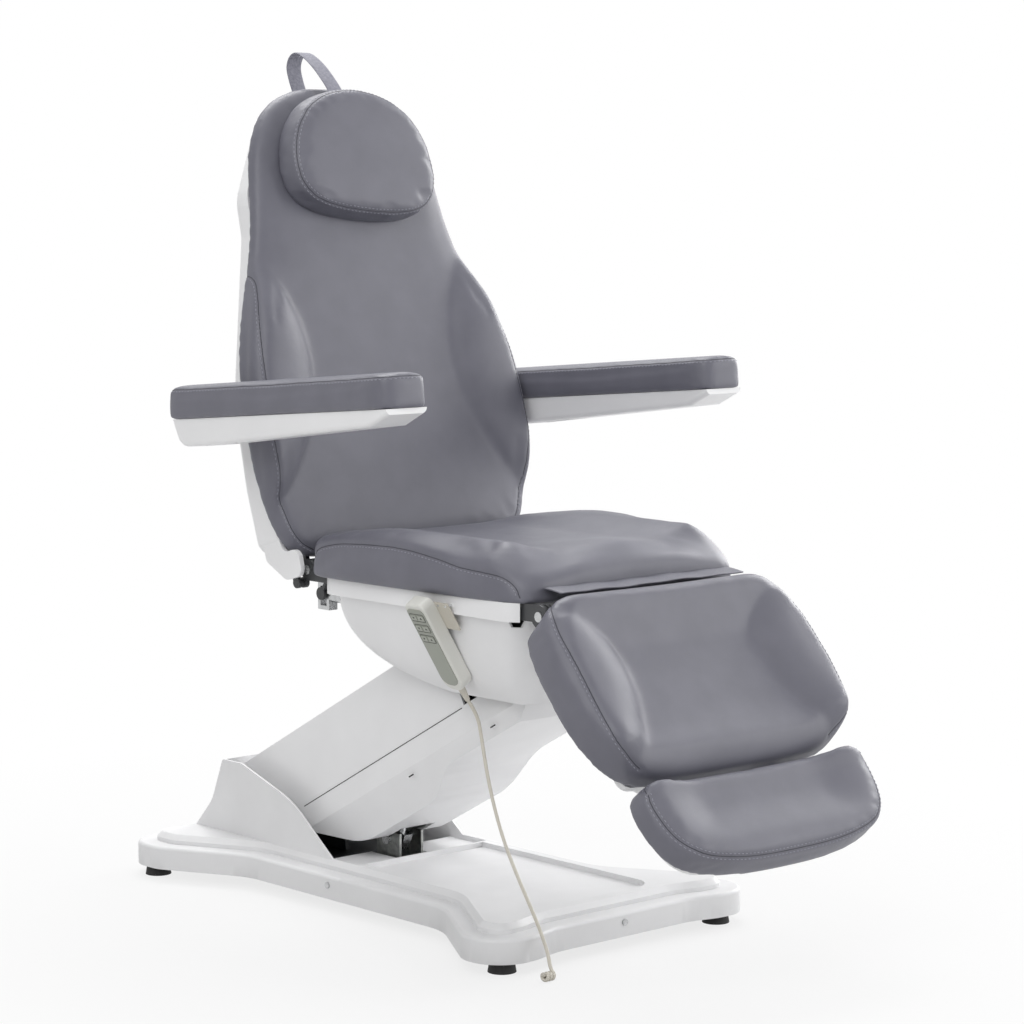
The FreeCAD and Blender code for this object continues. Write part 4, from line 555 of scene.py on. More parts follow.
def swell(piece, held, cap):
    """Let air pressure push the vinyl out from its held points, by no more than cap millimetres."""
    group = piece.vertex_groups.new(name="held")
    group.add(np.flatnonzero(held).tolist(), 1.0, "REPLACE")
    cloth = piece.modifiers.new("cloth", "CLOTH")
    cloth.settings.vertex_group_mass = "held"
    cloth.settings.use_pressure = True
    cloth.settings.uniform_pressure_force = PRESSURE
    cloth.settings.effector_weights.gravity = 0
    cloth.settings.quality = CLOTH_QUALITY
    cloth.collision_settings.use_collision = False
    cloth.point_cache.frame_end = SIM_FRAMES
    rest = points_of(piece.data)
    scene = bpy.context.scene
    for number in range(1, SIM_FRAMES + 1):
        scene.frame_set(number)
    graph = bpy.context.evaluated_depsgraph_get()
    moved = points_of(piece.evaluated_get(graph).data)
    piece.modifiers.clear()
    piece.vertex_groups.clear()
    scene.frame_set(1)
    step = moved - rest
    length = np.linalg.norm(step, axis=1, keepdims=True)
    step *= np.minimum(1, cap * MM / np.maximum(length, 1e-9))
    piece.data.vertices.foreach_set("co", (rest + step).ravel())
    piece.data.update()
    print(piece.name, "swelled by up to", round(length.max() / MM, 1), "mm, kept to", cap)


def upholstered(name, node, body, grid, place, board, cap, voxel=VOXEL):
    """A pad in a node's place: even mesh, simulated crown above its board, smoothed and divided once.
    Its place is an origin and a tilt."""
    origin, tilt = place
    piece = skin(name, placed(grid, *place))
    remesh = piece.modifiers.new("even", "REMESH")
    remesh.mode = "VOXEL"
    remesh.voxel_size = voxel * MM
    remesh.use_smooth_shade = True
    baked(piece)
    depth = (points_of(piece.data) - origin) @ turned((0, 0, 1), tilt)
    swell(piece, depth < (board + voxel) * MM, cap)
    smooth = piece.modifiers.new("smooth", "SMOOTH")
    smooth.factor = SMOOTH_FACTOR
    smooth.iterations = SMOOTH_TIMES
    finer = piece.modifiers.new("finer", "SUBSURF")
    finer.levels = finer.render_levels = 1
    baked(piece)
    piece.data.polygons.foreach_set("use_smooth", np.ones(len(piece.data.polygons), bool))
    fitted(piece, "grey_leatherette", body, node)
    return piece


# %% [markdown]
# ## Seams and stitches
# Two panels of vinyl meet at a seam: the surface dips, a fold shows as a dark line, a slim bar of
# painted shade, and a row of stitches runs on one side or both.  The seam's line is drawn near the pad
# and dropped onto it, so it follows the crown.

# %% Seam builder
STITCH_PITCH = 7.0
STITCH_LONG = 4.4
STITCH_RADIUS = 0.7
STITCH_SIDES = 6
STITCH_RINGS = np.array([-0.5, -0.32, 0.32, 0.5])[:, None]
STITCH_TAPER = np.array([0.45, 1.0, 1.0, 0.45])[:, None]
SEAM_SIDE = 4.5
SEAM_RADIUS = 1.0
SEAM_SUNK = 0.4
SEAM_STEP = 2.0
PINCH_REACH = 4


def dropped(piece, path):
    """The nearest points of a piece to a path, and its normals there."""
    tree = BVHTree.FromPolygons([vertex.co for vertex in piece.data.vertices],
                                [list(face.vertices) for face in piece.data.polygons])
    found = [tree.find_nearest(point) for point in path]
    return np.array([hit[0] for hit in found]), np.array([hit[1] for hit in found])


def pinched(piece, path, depth, width):
    """Sink a piece near a path: depth times exp(-(d / width)^2), along its own normals."""
    points = points_of(piece.data)
    normals = np.empty(points.size)
    piece.data.vertices.foreach_get("normal", normals)
    reach = PINCH_REACH * width * MM
    near = np.flatnonzero(((points > path.min(0) - reach) & (points < path.max(0) + reach)).all(1))
    gaps = np.concatenate([np.linalg.norm(points[some, None] - path[None, ::2], axis=2).min(1)
                           for some in np.array_split(near, 12)])
    sink = depth * MM * np.exp(-(gaps / (width * MM)) ** 2)
    points[near] -= normals.reshape(-1, 3)[near] * sink[:, None]
    piece.data.vertices.foreach_set("co", points.ravel())
    piece.data.update()


def stitch_template():
    """One stitch: a short bar with rounded ends, four rings of six points."""
    turn = np.linspace(0, 2 * np.pi, STITCH_SIDES, endpoint=False)[None]
    wide = STITCH_RADIUS * STITCH_TAPER
    grid = np.stack([STITCH_LONG * STITCH_RINGS + 0 * turn, wide * np.cos(turn), wide * np.sin(turn)], -1)
    faces = grid_faces(len(STITCH_RINGS), STITCH_SIDES, capped=False)
    return grid.reshape(-1, 3) * MM, np.array(faces)


def sewn(name, piece, body, path, closed=False, depth=1.4, width=5.0, rows=(-1, 1)):
    """A seam on a piece: pinch, fold line and rows of stitches.  The path is in the bed's metres."""
    length = np.linalg.norm(np.diff(path, axis=0), axis=1).sum()
    seam = through(path, max(int(length / (SEAM_STEP * MM)), 8), closed)
    seam, _ = dropped(piece, seam)
    pinched(piece, seam, depth, width)
    seam, normals = dropped(piece, seam)
    fold_line = seam - normals * SEAM_RADIUS * SEAM_SUNK * MM
    # The fold's bar is dark grey: painted shade for the crease of the seam.
    shade_fold = skin(name + "_fold", tube_grid(fold_line, SEAM_RADIUS * MM, 6, closed), capped=not closed)
    fitted(shade_fold, "seam", body, slot="grey_leatherette")
    along = tangents(seam, closed)
    across = np.cross(normals, along)
    step = round(STITCH_PITCH / SEAM_STEP)
    bar, bar_faces = stitch_template()
    blocks = []
    for row in rows:
        spots, up = dropped(piece, (seam + across * row * SEAM_SIDE * MM)[1:-1:step])
        run = along[1:-1:step]
        axes = np.stack([run, np.cross(up, run), up], 1)
        blocks.append((spots[:, None] + np.einsum("pi,nij->npj", bar, axes)).reshape(-1, 3))
    points = np.concatenate(blocks)
    count = len(points) // len(bar)
    shifts = np.arange(count)[:, None, None] * len(bar)
    sides = (bar_faces[None] + shifts).reshape(-1, 4).tolist()
    ends = np.stack([np.arange(STITCH_SIDES), np.arange(len(bar) - STITCH_SIDES, len(bar))])
    caps = (ends[None] + shifts).reshape(-1, STITCH_SIDES).tolist()
    stitches = mesh_object(name + "_stitches", points, sides + caps)
    fitted(stitches, "thread", body, slot="grey_leatherette")
    print(name, "seam", round(length, 3), "m,", count, "stitches")


def sewn_sides(name, piece, body, half, place):
    """The same seam left and right, from its right-hand line, with stitches on the outer side."""
    for label, sign in SIDES:
        path = placed(np.array(half) * (sign, 1, 1), *place)
        sewn(name + "_" + label, piece, body, path, rows=(sign,))


# %% [markdown]
# ## Back pad
# The back is wide at the hips and narrow at the head.  Two bolsters hold the sitter: each is a lens
# between an inner arc and the side, and its inner flank catches the light.

# %% Back pad
BACK_PLACE = (HINGES["recline"], 74.6)
BACK_BEHIND = -14.0
BACK_EDGE = 26.0
BACK_HALF = [(0, 17), (170, 17), (234, 25), (264, 48), (284, 94), (295, 160), (298, 222), (296, 296),
             (288, 360), (268, 437), (249, 490), (231, 540), (217, 590), (208, 640), (198, 700),
             (186, 738), (167, 774), (142, 801), (109, 822), (64, 836), (0, 841)]
BACK_FACE = 14.0
BACK_WIDEST = 300.0
BACK_NARROWS = 90.0
NARROWS_OVER = (350, 620)
CROWN_HIPS = 6.0
CROWN_HEAD = 8.0
CROWN_OVER = (430, 640)
HEAD_FALL = 12.0
HEAD_OVER = (730, 840)
BOLSTER_HIGH = 34.0
BOLSTER_NEAR = 152.0
BOLSTER_BEND = 0.002
BOLSTER_MIDDLE = 350.0
BOLSTER_WIDE = 92.0
BOLSTER_STARTS = (40, 160)
BOLSTER_ENDS = (610, 430)
BOLSTER_FOOT = (-12, 24)
STRAP_SHIFT = -8.0
DENT_DEEP = 15.0
DENT_WIDE = 36.0
DENT_OVER = (775, 832)


def back_face(x, y):
    """Height of the back's face: a crown across that grows towards the head, a bolster on each side,
    and a dent in the top where the pillow's strap goes over.  The bolster is a parabola beyond an arc
    |x| = near + bend (y - middle)^2, and it fades out at its two ends."""
    inner = BOLSTER_NEAR + BOLSTER_BEND * (y - BOLSTER_MIDDLE) ** 2
    beyond = np.abs(x) - inner
    fade = smooth_step(*BOLSTER_STARTS, y) * smooth_step(*BOLSTER_ENDS, y)
    side = bolster(beyond, BOLSTER_FOOT, BOLSTER_WIDE, BOLSTER_HIGH)
    half = BACK_WIDEST - BACK_NARROWS * smooth_step(*NARROWS_OVER, y)
    crown = (CROWN_HIPS + CROWN_HEAD * smooth_step(*CROWN_OVER, y)) * (1 - np.clip(x / half, -1, 1) ** 2)
    dent = DENT_DEEP * np.exp(-((x - STRAP_SHIFT) / DENT_WIDE) ** 2) * smooth_step(*DENT_OVER, y)
    return BACK_FACE + crown + fade * side - HEAD_FALL * smooth_step(*HEAD_OVER, y) - dent


back_grid = pad_grid(outlined(BACK_HALF), back_face, flat(BACK_BEHIND), BACK_EDGE)
back_pad = upholstered("back_cushion", "back_pad", "back", back_grid, BACK_PLACE, BACK_BEHIND, cap=3)
BACK_SEAM = [(244, 508, -8), (250, 503, 8), (256, 490, 24), (262, 462, 34), (269, 410, 40), (277, 320, 44),
             (280, 215, 42), (274, 130, 38), (260, 72, 32), (240, 42, 26), (214, 26, 18)]
sewn_sides("back_seam", back_pad, "back", BACK_SEAM, BACK_PLACE)

# %% [markdown]
# ## Seat pad
# The seat is a saddle: high at the sides behind, low in front where the thighs part, with a soft rise
# between them.  Its side panel is sewn on along the upper edge.

# %% Seat pad
SEAT_AHEAD = 0.505
SEAT_PLACE = (np.array([0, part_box("seat_pad")[0].y + SEAT_AHEAD, 0]), 0)
SEAT_BEHIND = 581.0
SEAT_EDGE = 22.0
SEAT_HALF = [(0, -503), (150, -503), (205, -499), (236, -482), (249, -446), (254, -380), (259, -280),
             (262, -150), (262, -50), (258, -4), (243, 17), (200, 24), (0, 24)]
SEAT_FACE = 642.0
SEAT_LIFT = 2.0
SIDE_HIGH = 34.0
SIDE_LOW = 10.0
SIDE_OVER = (100, 210)
REAR_OVER = (-500, -410)
RISE_HIGH = 13.0
RISE_AT = -425.0
RISE_LONG = 75.0
RISE_WIDE = 95.0
HEEL_FALL = 20.0
HEEL_OVER = (-190, 40)
SHOULDER_FALL = 22.0
SHOULDER_ACROSS = (195, 258)
SHOULDER_ALONG = (-215, -390)
FRONT_FALL = 7.0
FRONT_OVER = (-450, -503)


def seat_face(x, y):
    """Height of the seat: side bolsters that fall off at the heel and at the outer front, a hollow for
    each thigh, a rise between them, and a fall at the front edge."""
    side = smooth_step(*SIDE_OVER, np.abs(x))
    rear = smooth_step(*REAR_OVER, y)
    rise = RISE_HIGH * np.exp(-((y - RISE_AT) / RISE_LONG) ** 2 - (x / RISE_WIDE) ** 2)
    heel = HEEL_FALL * smooth_step(*HEEL_OVER, y)
    shoulder = SHOULDER_FALL * smooth_step(*SHOULDER_ACROSS, np.abs(x)) * smooth_step(*SHOULDER_ALONG, y)
    front = FRONT_FALL * smooth_step(*FRONT_OVER, y)
    sides = side * (SIDE_HIGH * rear - SIDE_LOW - heel)
    return SEAT_FACE + SEAT_LIFT * rear + sides + rise - shoulder - front


seat_grid = pad_grid(outlined(SEAT_HALF), seat_face, flat(SEAT_BEHIND), SEAT_EDGE)
seat_pad = upholstered("seat_cushion", "seat_pad", "seat", seat_grid, SEAT_PLACE, SEAT_BEHIND, cap=4)
SEAT_SEAM = [(254, 8, 612), (257, -6, 626), (258, -40, 637), (258, -90, 644), (257, -210, 648),
             (255, -300, 640), (253, -360, 630), (251, -420, 626), (246, -455, 622), (242, -476, 610),
             (238, -484, 592)]
sewn_sides("seat_seam", seat_pad, "seat", SEAT_SEAM, SEAT_PLACE)

# %% [markdown]
# ## Leg and foot pads
# The leg pad has a bolster on each side and a hollow between them.  The foot pad has a rim on three
# sides.  Both lie in the leg rest's own frame, which hangs down from the seat's front hinge.

# %% Leg pad
LEG_TILT = 50.0
LEG_HINGE = HINGES["leg_swing"]
LEG_PLACE = (LEG_HINGE, LEG_TILT)
LEG_BEHIND = -16.0
LEG_EDGE = 24.0
LEG_BACK_EDGE = 4.0
LEG_HALF = [(0, 10), (150, 10), (212, 6), (246, -10), (266, -36), (277, -80), (280, -140), (278, -190),
            (270, -232), (249, -276), (212, -302), (150, -313), (0, -315)]
LEG_FACE = 29.0
LEG_BOLSTER = 31.0
LEG_NEAR = 140.0
LEG_BEND = 0.0025
LEG_MIDDLE = -125.0
LEG_WIDE = 88.0
LEG_FOOT = (-14, 24)
LEG_FADES = (-330, -250)
LEG_TOP = 31.0
TOP_OVER = (-105, -5)
ROLL_HIGH = 8.0
ROLL_AT = -272.0
ROLL_LONG = 34.0
END_FALL = 6.0
END_OVER = (-285, -315)
HINGE_ROOM = 21.0
HINGE_OVER = -34.0


def leg_face(x, y):
    """Height of the leg pad: bolsters beyond an arc |x| = near + bend (y - middle)^2 that fade at the far
    end, a full edge at the seat that runs down into the hollow, and a soft roll before the far end."""
    beyond = np.abs(x) - LEG_NEAR - LEG_BEND * (y - LEG_MIDDLE) ** 2
    side = bolster(beyond, LEG_FOOT, LEG_WIDE, LEG_BOLSTER) * smooth_step(*LEG_FADES, y)
    head = LEG_TOP * smooth_step(*TOP_OVER, y)
    roll = ROLL_HIGH * np.exp(-((y - ROLL_AT) / ROLL_LONG) ** 2)
    return LEG_FACE + np.maximum(side, head) + roll - END_FALL * smooth_step(*END_OVER, y)


def leg_back(x, y):
    """Underside of the leg pad: flat on its board, and a round hollow over the hinge."""
    hollow = np.sqrt(np.maximum(HINGE_ROOM**2 - y**2, 0))
    return np.where(y > -HINGE_ROOM, hollow, LEG_BEHIND * smooth_step(-HINGE_ROOM, HINGE_OVER, y))


leg_grid = pad_grid(outlined(LEG_HALF), leg_face, leg_back, LEG_EDGE, LEG_BACK_EDGE)
leg_pad = upholstered("leg_cushion", "leg_pad", "leg", leg_grid, LEG_PLACE, LEG_BEHIND, cap=4)
LEG_SEAM = [(222, 4, 30), (236, -6, 42), (250, -32, 50), (258, -70, 52), (261, -125, 56), (262, -200, 56),
            (256, -242, 52), (240, -278, 44), (212, -302, 30)]
sewn_sides("leg_seam", leg_pad, "leg", LEG_SEAM, LEG_PLACE)

# %% Foot pad
FOOT_BEHIND = -8.0
FOOT_EDGE = 16.0
FOOT_HALF = [(0, -320), (150, -320), (214, -322), (238, -332), (246, -358), (242, -400), (225, -437),
             (188, -462), (110, -478), (0, -482)]
FOOT_FACE = 29.0
FOOT_RIM = 15.0
RIM_ACROSS = (120, 215)
RIM_ALONG = (-375, -446)
FOOT_LIP = 5.0
LIP_OVER = (-360, -325)


def foot_face(x, y):
    """Height of the foot pad: a hollow that opens towards the leg, with a rim left, right and below."""
    across = smooth_step(*RIM_ACROSS, np.abs(x))
    along = smooth_step(*RIM_ALONG, y)
    rim = 1 - (1 - across) * (1 - along)
    return FOOT_FACE + FOOT_RIM * rim + FOOT_LIP * smooth_step(*LIP_OVER, y)


foot_grid = pad_grid(outlined(FOOT_HALF), foot_face, flat(FOOT_BEHIND), FOOT_EDGE)
foot_pad = upholstered("foot_cushion", "foot_pad", "foot", foot_grid, LEG_PLACE, FOOT_BEHIND, cap=3,
                       voxel=5.0)
FOOT_SEAM_HALF = [(226, -326, 32), (238, -362, 36), (230, -410, 38), (208, -440, 40), (170, -460, 40),
                  (90, -474, 40), (0, -477, 40)]
foot_right = np.array(FOOT_SEAM_HALF, float)
foot_seam = np.concatenate([foot_right * (-1, 1, 1), foot_right[-2::-1]])
sewn("foot_seam", foot_pad, "foot", placed(foot_seam, *LEG_PLACE))

# %% [markdown]
# ## Leg tray
# The white tray under the leg pad has shallow sides, so the pad hides most of it.  The tray is a copy of
# the measured shell, merged and finely divided.  Its sides are drawn in and up, and its middle, where
# the slide tubes run, stays as it is.

# %% Leg tray
TRAY_TOP = -16.0
TRAY_SIDES = (150, 225)
TRAY_LIFT = 0.62
TRAY_INSET = 20.0
TRAY_EDGE = 0.02
TRAY_HALVINGS = 6


def finely_divided(source, longest):
    """Points and triangles of a mesh, merged, with its edges halved until none is longer than asked."""
    work = bmesh.new()
    work.from_mesh(source)
    bmesh.ops.remove_doubles(work, verts=work.verts, dist=WELD * MM)
    for _ in range(TRAY_HALVINGS):
        long_edges = [edge for edge in work.edges if edge.calc_length() > longest]
        bmesh.ops.subdivide_edges(work, edges=long_edges, cuts=1)
        bmesh.ops.triangulate(work, faces=work.faces)
    fine = bpy.data.meshes.new("divided")
    work.to_mesh(fine)
    work.free()
    corners = np.empty(len(fine.loops), int)
    fine.loops.foreach_get("vertex_index", corners)
    points = points_of(fine)
    bpy.data.meshes.remove(fine)
    return points, corners.reshape(-1, 3).tolist()


tray_points, tray_faces = finely_divided(NODES["leg_shell"].data, TRAY_EDGE)
tray_x, tray_along, tray_high = turned((tray_points - LEG_HINGE) / MM, -LEG_TILT).T
tray_outer = smooth_step(*TRAY_SIDES, np.abs(tray_x))
tray_drawn = np.column_stack([tray_x - np.sign(tray_x) * TRAY_INSET * tray_outer, tray_along,
                              TRAY_TOP + (tray_high - TRAY_TOP) * (1 - TRAY_LIFT * tray_outer)])
tray = mesh_object("leg_tray", placed(tray_drawn, *LEG_PLACE), tray_faces)
tray.data.set_sharp_from_angle(angle=math.radians(SHARP_ANGLE))
fitted(tray, "white_plastic", "leg", "leg_shell")
print("leg tray of", len(tray_faces), "triangles")

# %% [markdown]
# ## Head pillow
# The pillow is a D of foam with a flat face and a boxed side.  Double rows of stitches run round the
# edge of its face, and a woven strap goes over the top of the back.

# %% Head pillow
PILLOW_BEHIND = 22.4
PILLOW_FACE = 74.0
PILLOW_ROLL = math.radians(-5)
PILLOW_GROW = 1.03
PILLOW_EDGE = 9.0
PILLOW_SEAM_AT = 0.975
PILLOW_HALF = [(0, 593), (70, 597), (115, 610), (140, 632), (151, 662), (151, 692), (144, 726), (128, 757),
               (102, 785), (59, 807), (0, 816)]
PILLOW_CROWN = 5.0
CROWN_ACROSS = 115.0
CROWN_ALONG = 90.0
CROWN_AT = 705.0
pillow_flat = outlined(PILLOW_HALF)
pillow_middle = pillow_flat.mean(0)
pillow_turn = np.array([[math.cos(PILLOW_ROLL), math.sin(PILLOW_ROLL)],
                        [-math.sin(PILLOW_ROLL), math.cos(PILLOW_ROLL)]])
pillow_outline = pillow_middle + (pillow_flat - pillow_middle) @ pillow_turn * PILLOW_GROW


def pillow_face(x, y):
    """Height of the pillow's face: flat, with a slight crown towards its middle."""
    return PILLOW_FACE + PILLOW_CROWN * np.exp(-(x / CROWN_ACROSS) ** 2 - ((y - CROWN_AT) / CROWN_ALONG) ** 2)


pillow_grid = pad_grid(pillow_outline, pillow_face, flat(PILLOW_BEHIND), PILLOW_EDGE)
pillow = upholstered("head_pillow", "pillow", "pillow", pillow_grid, BACK_PLACE, PILLOW_BEHIND, cap=4,
                     voxel=4.5)
pillow_rim = pillow_middle + (pillow_outline[::6] - pillow_middle) * PILLOW_SEAM_AT
pillow_seam = np.column_stack([pillow_rim, np.full(len(pillow_rim), PILLOW_FACE)])
sewn("pillow_seam", pillow, "pillow", placed(pillow_seam, *BACK_PLACE), closed=True)

# %% [markdown]
# ## Pillow strap
# The strap is a flat woven band.  It leaves the pillow's upper edge, loops freely over the head of the
# back and hangs behind the shell.  A flat section with rounded corners is carried along the band's line.

# %% Pillow strap
STRAP_LINE = [(806, 36), (826, 29), (850, 16), (876, -1), (898, -20), (913, -40), (911, -58), (896, -70),
              (872, -70), (842, -65), (806, -63), (770, -66)]
STRAP_HALF = 16.0
STRAP_THICK = 2.4
STRAP_ROWS = 90
STRAP_AROUND = 28
STRAP_SQUARE = (0.35, 0.6)


def left_of(line):
    """Unit directions to the left of a flat line: its direction turned by a quarter."""
    along = tangents(line)
    return np.column_stack([-along[:, 1], along[:, 0]])[:, None]


def spread(across, spots):
    """A grid from places across the bed (X) and a (Y, Z) spot for each row and column."""
    return np.concatenate([np.broadcast_to(across[None, :, None], spots.shape[:2] + (1,)), spots], 2)


def squared(value, power):
    """A cosine or sine drawn towards +1 and -1, which turns an ellipse into a rounded rectangle."""
    return np.sign(value) * np.abs(value) ** power


strap_line = through(np.array(STRAP_LINE, float), STRAP_ROWS, closed=False)
strap_turn = np.linspace(0, 2 * np.pi, STRAP_AROUND, endpoint=False)
strap_x = STRAP_HALF * squared(np.cos(strap_turn), STRAP_SQUARE[0]) + STRAP_SHIFT
strap_z = STRAP_THICK / 2 * squared(np.sin(strap_turn), STRAP_SQUARE[1])
strap_grid = spread(strap_x, strap_line[:, None] + left_of(strap_line) * strap_z[None, :, None])
strap = skin("head_strap", placed(strap_grid, *BACK_PLACE))
fitted(strap, "strap_webbing", "pillow", "pillow_strap")
print("strap of", len(strap_line), "sections")

# %% [markdown]
# ## Armrest pads
# Each armrest has a long flat pad in a white tray.  The pad is boxed: a top panel and a side band,
# sewn together round the top.

# %% Armrest pads
REST_TILT = -4.8
REST_X = 350.0
REST_LOW = 15.0
REST_FACE = 66.0
REST_CROWN = 3.0
REST_WIDE = 48.0
REST_EDGE = 9.0
REST_BACK_EDGE = 4.0
REST_SEAM_AT = (0.95, 0.995)
REST_HALF = [(0, -518), (24, -517), (39, -510), (46, -494), (46.5, -470), (46.5, -250), (46.5, 20), (44, 40),
             (34, 52), (18, 55), (0, 55)]
rest_outline = outlined(REST_HALF, LOOP_POINTS * 2)


def rest_face(x, y):
    """Height of an armrest's pad: nearly flat, a little crowned across."""
    return REST_FACE + REST_CROWN * (1 - (x / REST_WIDE) ** 2)


rest_grid = pad_grid(rest_outline, rest_face, flat(REST_LOW), REST_EDGE, REST_BACK_EDGE)
rest_rim = rest_outline[::4] * REST_SEAM_AT
rest_seam = np.column_stack([rest_rim, np.full(len(rest_rim), REST_FACE)])
for label, sign in SIDES:
    place = (HINGES["armrest_%s_level" % label] + (sign * REST_X * MM, 0, 0), REST_TILT)
    body = "armrest_" + label
    rest = upholstered("armrest_cushion_" + label, "armrest_pad_" + label, body, rest_grid, place, REST_LOW,
                       cap=2, voxel=4.0)
    sewn("armrest_seam_" + label, rest, body, placed(rest_seam, *place), closed=True, depth=0.8, width=3.0,
         rows=(-1,))

# %% [markdown]
# ## Front flap
# A strip of the same vinyl bridges the gap between the seat and the leg pad.  It is sewn under the
# seat's front edge and lies on the leg pad.

# %% Front flap
FLAP_LINE = [(15, 40), (8, 40), (0, 39.4), (-8, 38.4), (-16, 37.2), (-24, 36)]
FLAP_HALF = 202.0
FLAP_THICK = 2.0
FLAP_ROWS = 24
FLAP_COLUMNS = 60
FLAP_WAVE = 1.2
WAVE_LONG = 46.0
WAVE_SHORT = 19.0
flap_line = through(np.array(FLAP_LINE, float), FLAP_ROWS, closed=False)
flap_x = np.linspace(-FLAP_HALF, FLAP_HALF, FLAP_COLUMNS)
flap_wave = FLAP_WAVE * np.sin(flap_x / WAVE_LONG) * np.cos(flap_x / WAVE_SHORT)
flap_mid = flap_line[:, None] + left_of(flap_line) * flap_wave[None, :, None]
flap_half = left_of(flap_line) * FLAP_THICK / 2
flap_grid = spread(flap_x, np.concatenate([flap_mid + flap_half, (flap_mid - flap_half)[::-1]]))
flap = skin("front_flap_vinyl", np.swapaxes(flap_grid, 0, 1) * MM + LEG_HINGE)
give(flap, "grey_leatherette")
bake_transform(flap)
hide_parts("front_flap")
print("flap", 2 * FLAP_HALF, "mm wide")

# %% [markdown]
# ## Lift arm details
# A thin shut line runs along each side of the lift arm, where its top cover ends, and short slots for
# the cover's clips lie below it.  Both are gaps, drawn as slim black bars sunk half into the side: the
# black is painted shade for the dark inside of a gap.

# %% Lift arm details
ARM_SIDE = 115.0
SHUT_LINE = [(372, 145), (-46, 372)]
CLIP_SLOTS = [(83, 241), (-122, 352)]
SLOT_HALF = 6.0
SHUT_RADIUS = 0.8
SLOT_RADIUS = 1.3
BAR_RINGS = 12
arm_run = np.diff(np.array(SHUT_LINE, float), axis=0)[0]
arm_run /= np.linalg.norm(arm_run)


def arm_shade_bar(name, sign, ends, radius):
    """A bar of painted shade on one side of the lift arm, between two (y, z) points."""
    share = np.linspace(0, 1, BAR_RINGS)[:, None]
    line = np.asarray(ends[0]) + (np.asarray(ends[1]) - ends[0]) * share
    path = np.column_stack([np.full(len(line), sign * ARM_SIDE), line]) * MM
    # The black plastic finish on these bars is painted shade.
    fitted(skin(name, tube_grid(path, radius * MM)), "black_plastic", "lift_arm")


for label, sign in SIDES:
    arm_shade_bar("shut_line_" + label, sign, SHUT_LINE, SHUT_RADIUS)
    for number, slot in enumerate(CLIP_SLOTS, 1):
        arm_shade_bar("clip_slot_%s_%d" % (label, number), sign,
                (slot - SLOT_HALF * arm_run, slot + SLOT_HALF * arm_run), SLOT_RADIUS)
print("arm bars", 2 * (1 + len(CLIP_SLOTS)))

# %% [markdown]
# ## Handset print
# The handset's face carries three pairs of keys.  Each pair has a printed frame with rounded corners,
# and each key has a plain arrow.  The print is a thin raised layer, so it also shows in the mesh.

# %% Handset print
SET_ORIGIN = np.array([-0.175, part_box("handset_panel")[0].y + 0.0195, 0.432])
SET_TILT = 32.0
SWAPPED = [1, 0, 2]
SET_FACE = -25.2
KEY_FACE = -26.2
INK = 0.25
FRAME_HALF = (16.8, 7.6)
FRAME_ROUND = 3.2
FRAME_LINE = 0.9
ARROW = np.array([(-2.4, -1.6), (2.4, -1.6), (0, 2.2)])


def on_handset(points):
    """Handset millimetres, across, deep and along, to the bed's metres.  It leans about Y, so X and Y
    are swapped after the turn."""
    return placed(points, 0, SET_TILT)[..., SWAPPED] + SET_ORIGIN


def key_spot(number):
    """Across and along of a key's middle, from its measured box."""
    low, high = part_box("key_%d" % number)
    middle = (np.array(low) + np.array(high)) / 2 - SET_ORIGIN
    return turned(middle[SWAPPED], -SET_TILT)[[0, 2]] / MM


def printed(name, body, loops, face):
    """A thin raised print: each loop of (across, along) points at two heights, as a closed band."""
    grid = [np.insert(loop, 1, face + height, axis=1) for loop, height in loops]
    piece = skin(name, on_handset(np.stack(grid)), capped=False, smooth=False)
    fitted(piece, "ink", body, slot="black_plastic")


corner = np.linspace(0, np.pi / 2, 6)
corner_turns = (np.arange(4)[:, None] * np.pi / 2 + corner).ravel()
corner_arcs = np.stack([np.cos(corner_turns), np.sin(corner_turns)], -1)
corner_signs = np.repeat([(1, 1), (-1, 1), (-1, -1), (1, -1)], len(corner), 0)


def rounded_loop(grow):
    """A rectangle with round corners, grown outwards: quarter circles about its four corner centres."""
    return corner_arcs * (FRAME_ROUND + grow) + (np.array(FRAME_HALF) - FRAME_ROUND) * corner_signs


for row in range(3):
    middle = (key_spot(2 * row + 1) + key_spot(2 * row + 2)) / 2
    outer, inner = rounded_loop(0) + middle, rounded_loop(-FRAME_LINE) + middle
    printed("key_frame_%d" % (row + 1), "seat",
            [(outer, 0.0), (outer, -INK), (inner, -INK), (inner, 0.0), (outer, 0.0)], SET_FACE)
for number in range(1, 7):
    point_up = 1 if number % 2 else -1
    arrow = ARROW * (1, point_up) + key_spot(number)
    middle = np.broadcast_to(arrow.mean(0), arrow.shape)
    printed("key_mark_%d" % number, "key_%d" % number,
            [(middle, -INK), (arrow, -INK), (arrow, 0.0), (middle, 0.0)], KEY_FACE)

# %% [markdown]
# ## Stage and light
# A pale floor and soft studio lamps.  The floor fades into a white backdrop away from the bed, and the
# shadow under the bed stays.

# %% Stage
FLOOR_REACH = 14.0
FLOOR_SIDES = 64
FLOOR_FADE = (0.5, 1.7)
FLOOR_WHITE = (0.78, 1.0)


def seen_directly(tree):
    """1 for rays that see a surface directly, in a mirror or through glass, and 0 for its light."""
    path = add(tree, "LightPath")
    seen = add(tree, "Math", {0: (path, "Is Camera Ray"), 1: (path, "Is Glossy Ray")}, operation="MAXIMUM")
    return add(tree, "Math", {0: (seen, "Value"), 1: (path, "Is Transmission Ray")}, operation="MAXIMUM")


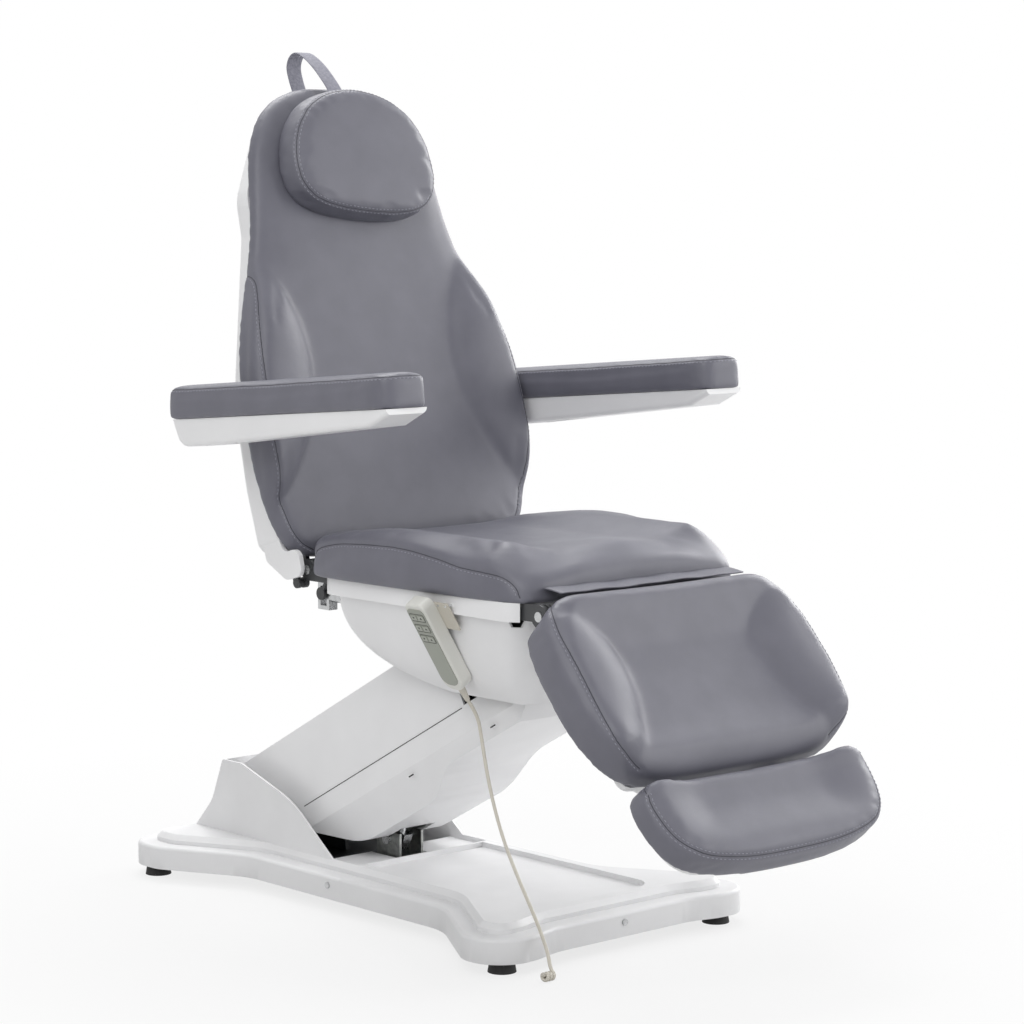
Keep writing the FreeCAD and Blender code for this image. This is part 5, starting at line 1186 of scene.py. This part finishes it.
def floor_finish():
    """Matt white floor that turns into the plain white of the backdrop with distance."""
    material, tree, surface = new_finish("floor_matt_white", Roughness=0.9, Base_Color=linear("#d4d4d4"))
    where = add(tree, "TexCoord")
    far = add(tree, "VectorMath", {0: (where, "Object")}, operation="LENGTH")
    fade = add(tree, "MapRange", {"Value": (far, "Value"), "From Min": FLOOR_FADE[0],
                                  "From Max": FLOOR_FADE[1], "To Min": FLOOR_WHITE[0],
                                  "To Max": FLOOR_WHITE[1]})
    share = add(tree, "Math", {0: (fade, "Result"), 1: (seen_directly(tree), "Value")}, operation="MULTIPLY")
    white = add(tree, "Emission", {"Color": (1, 1, 1, 1), "Strength": 1.0})
    mix = add(tree, "MixShader", {0: (share, "Value"), 1: (surface, "BSDF"), 2: (white, "Emission")})
    tree.links.new(mix.outputs["Shader"], tree.nodes["Material Output"].inputs["Surface"])
    return material


ring = np.linspace(0, 2 * np.pi, FLOOR_SIDES, endpoint=False)
floor_points = np.column_stack([FLOOR_REACH * np.cos(ring), FLOOR_REACH * np.sin(ring), np.zeros(len(ring))])
floor = mesh_object("floor", floor_points, [list(range(len(ring)))], smooth=False)
floor.data.materials.append(floor_finish())

# %% Light
WORLD_FILL = 0.36
world = bpy.data.worlds.new("studio")
world.use_nodes = True
bpy.context.scene.world = world
sky = world.node_tree
sky_strength = add(sky, "MapRange", {"Value": (seen_directly(sky), "Value"), "To Min": WORLD_FILL,
                                     "To Max": 1.0})
background = sky.nodes["Background"]
background.inputs["Color"].default_value = (1, 1, 1, 1)
sky.links.new(sky_strength.outputs["Result"], background.inputs["Strength"])

LAMPS = {"top_rear": ((0.8, 1.7, 3.9), 2.4, 100), "side_right": ((4.0, 0.4, 2.0), 2.4, 95),
         "front_right": ((2.8, -3.6, 1.8), 3.0, 80), "fill_left": ((-3.2, -1.6, 3.2), 3.0, 82)}
AIM = np.array([0.0, 0.0, 0.75])
for label, (spot, size, power) in LAMPS.items():
    light = bpy.data.lights.new(label, "AREA")
    light.size = size
    light.energy = power
    holder = bpy.data.objects.new(label, light)
    holder.location = spot
    toward = AIM - spot
    holder.rotation_euler = (math.acos(-toward[2] / np.linalg.norm(toward)), 0,
                             math.atan2(toward[1], toward[0]) - math.pi / 2)
    bpy.context.scene.collection.objects.link(holder)
print("lamps", len(LAMPS))
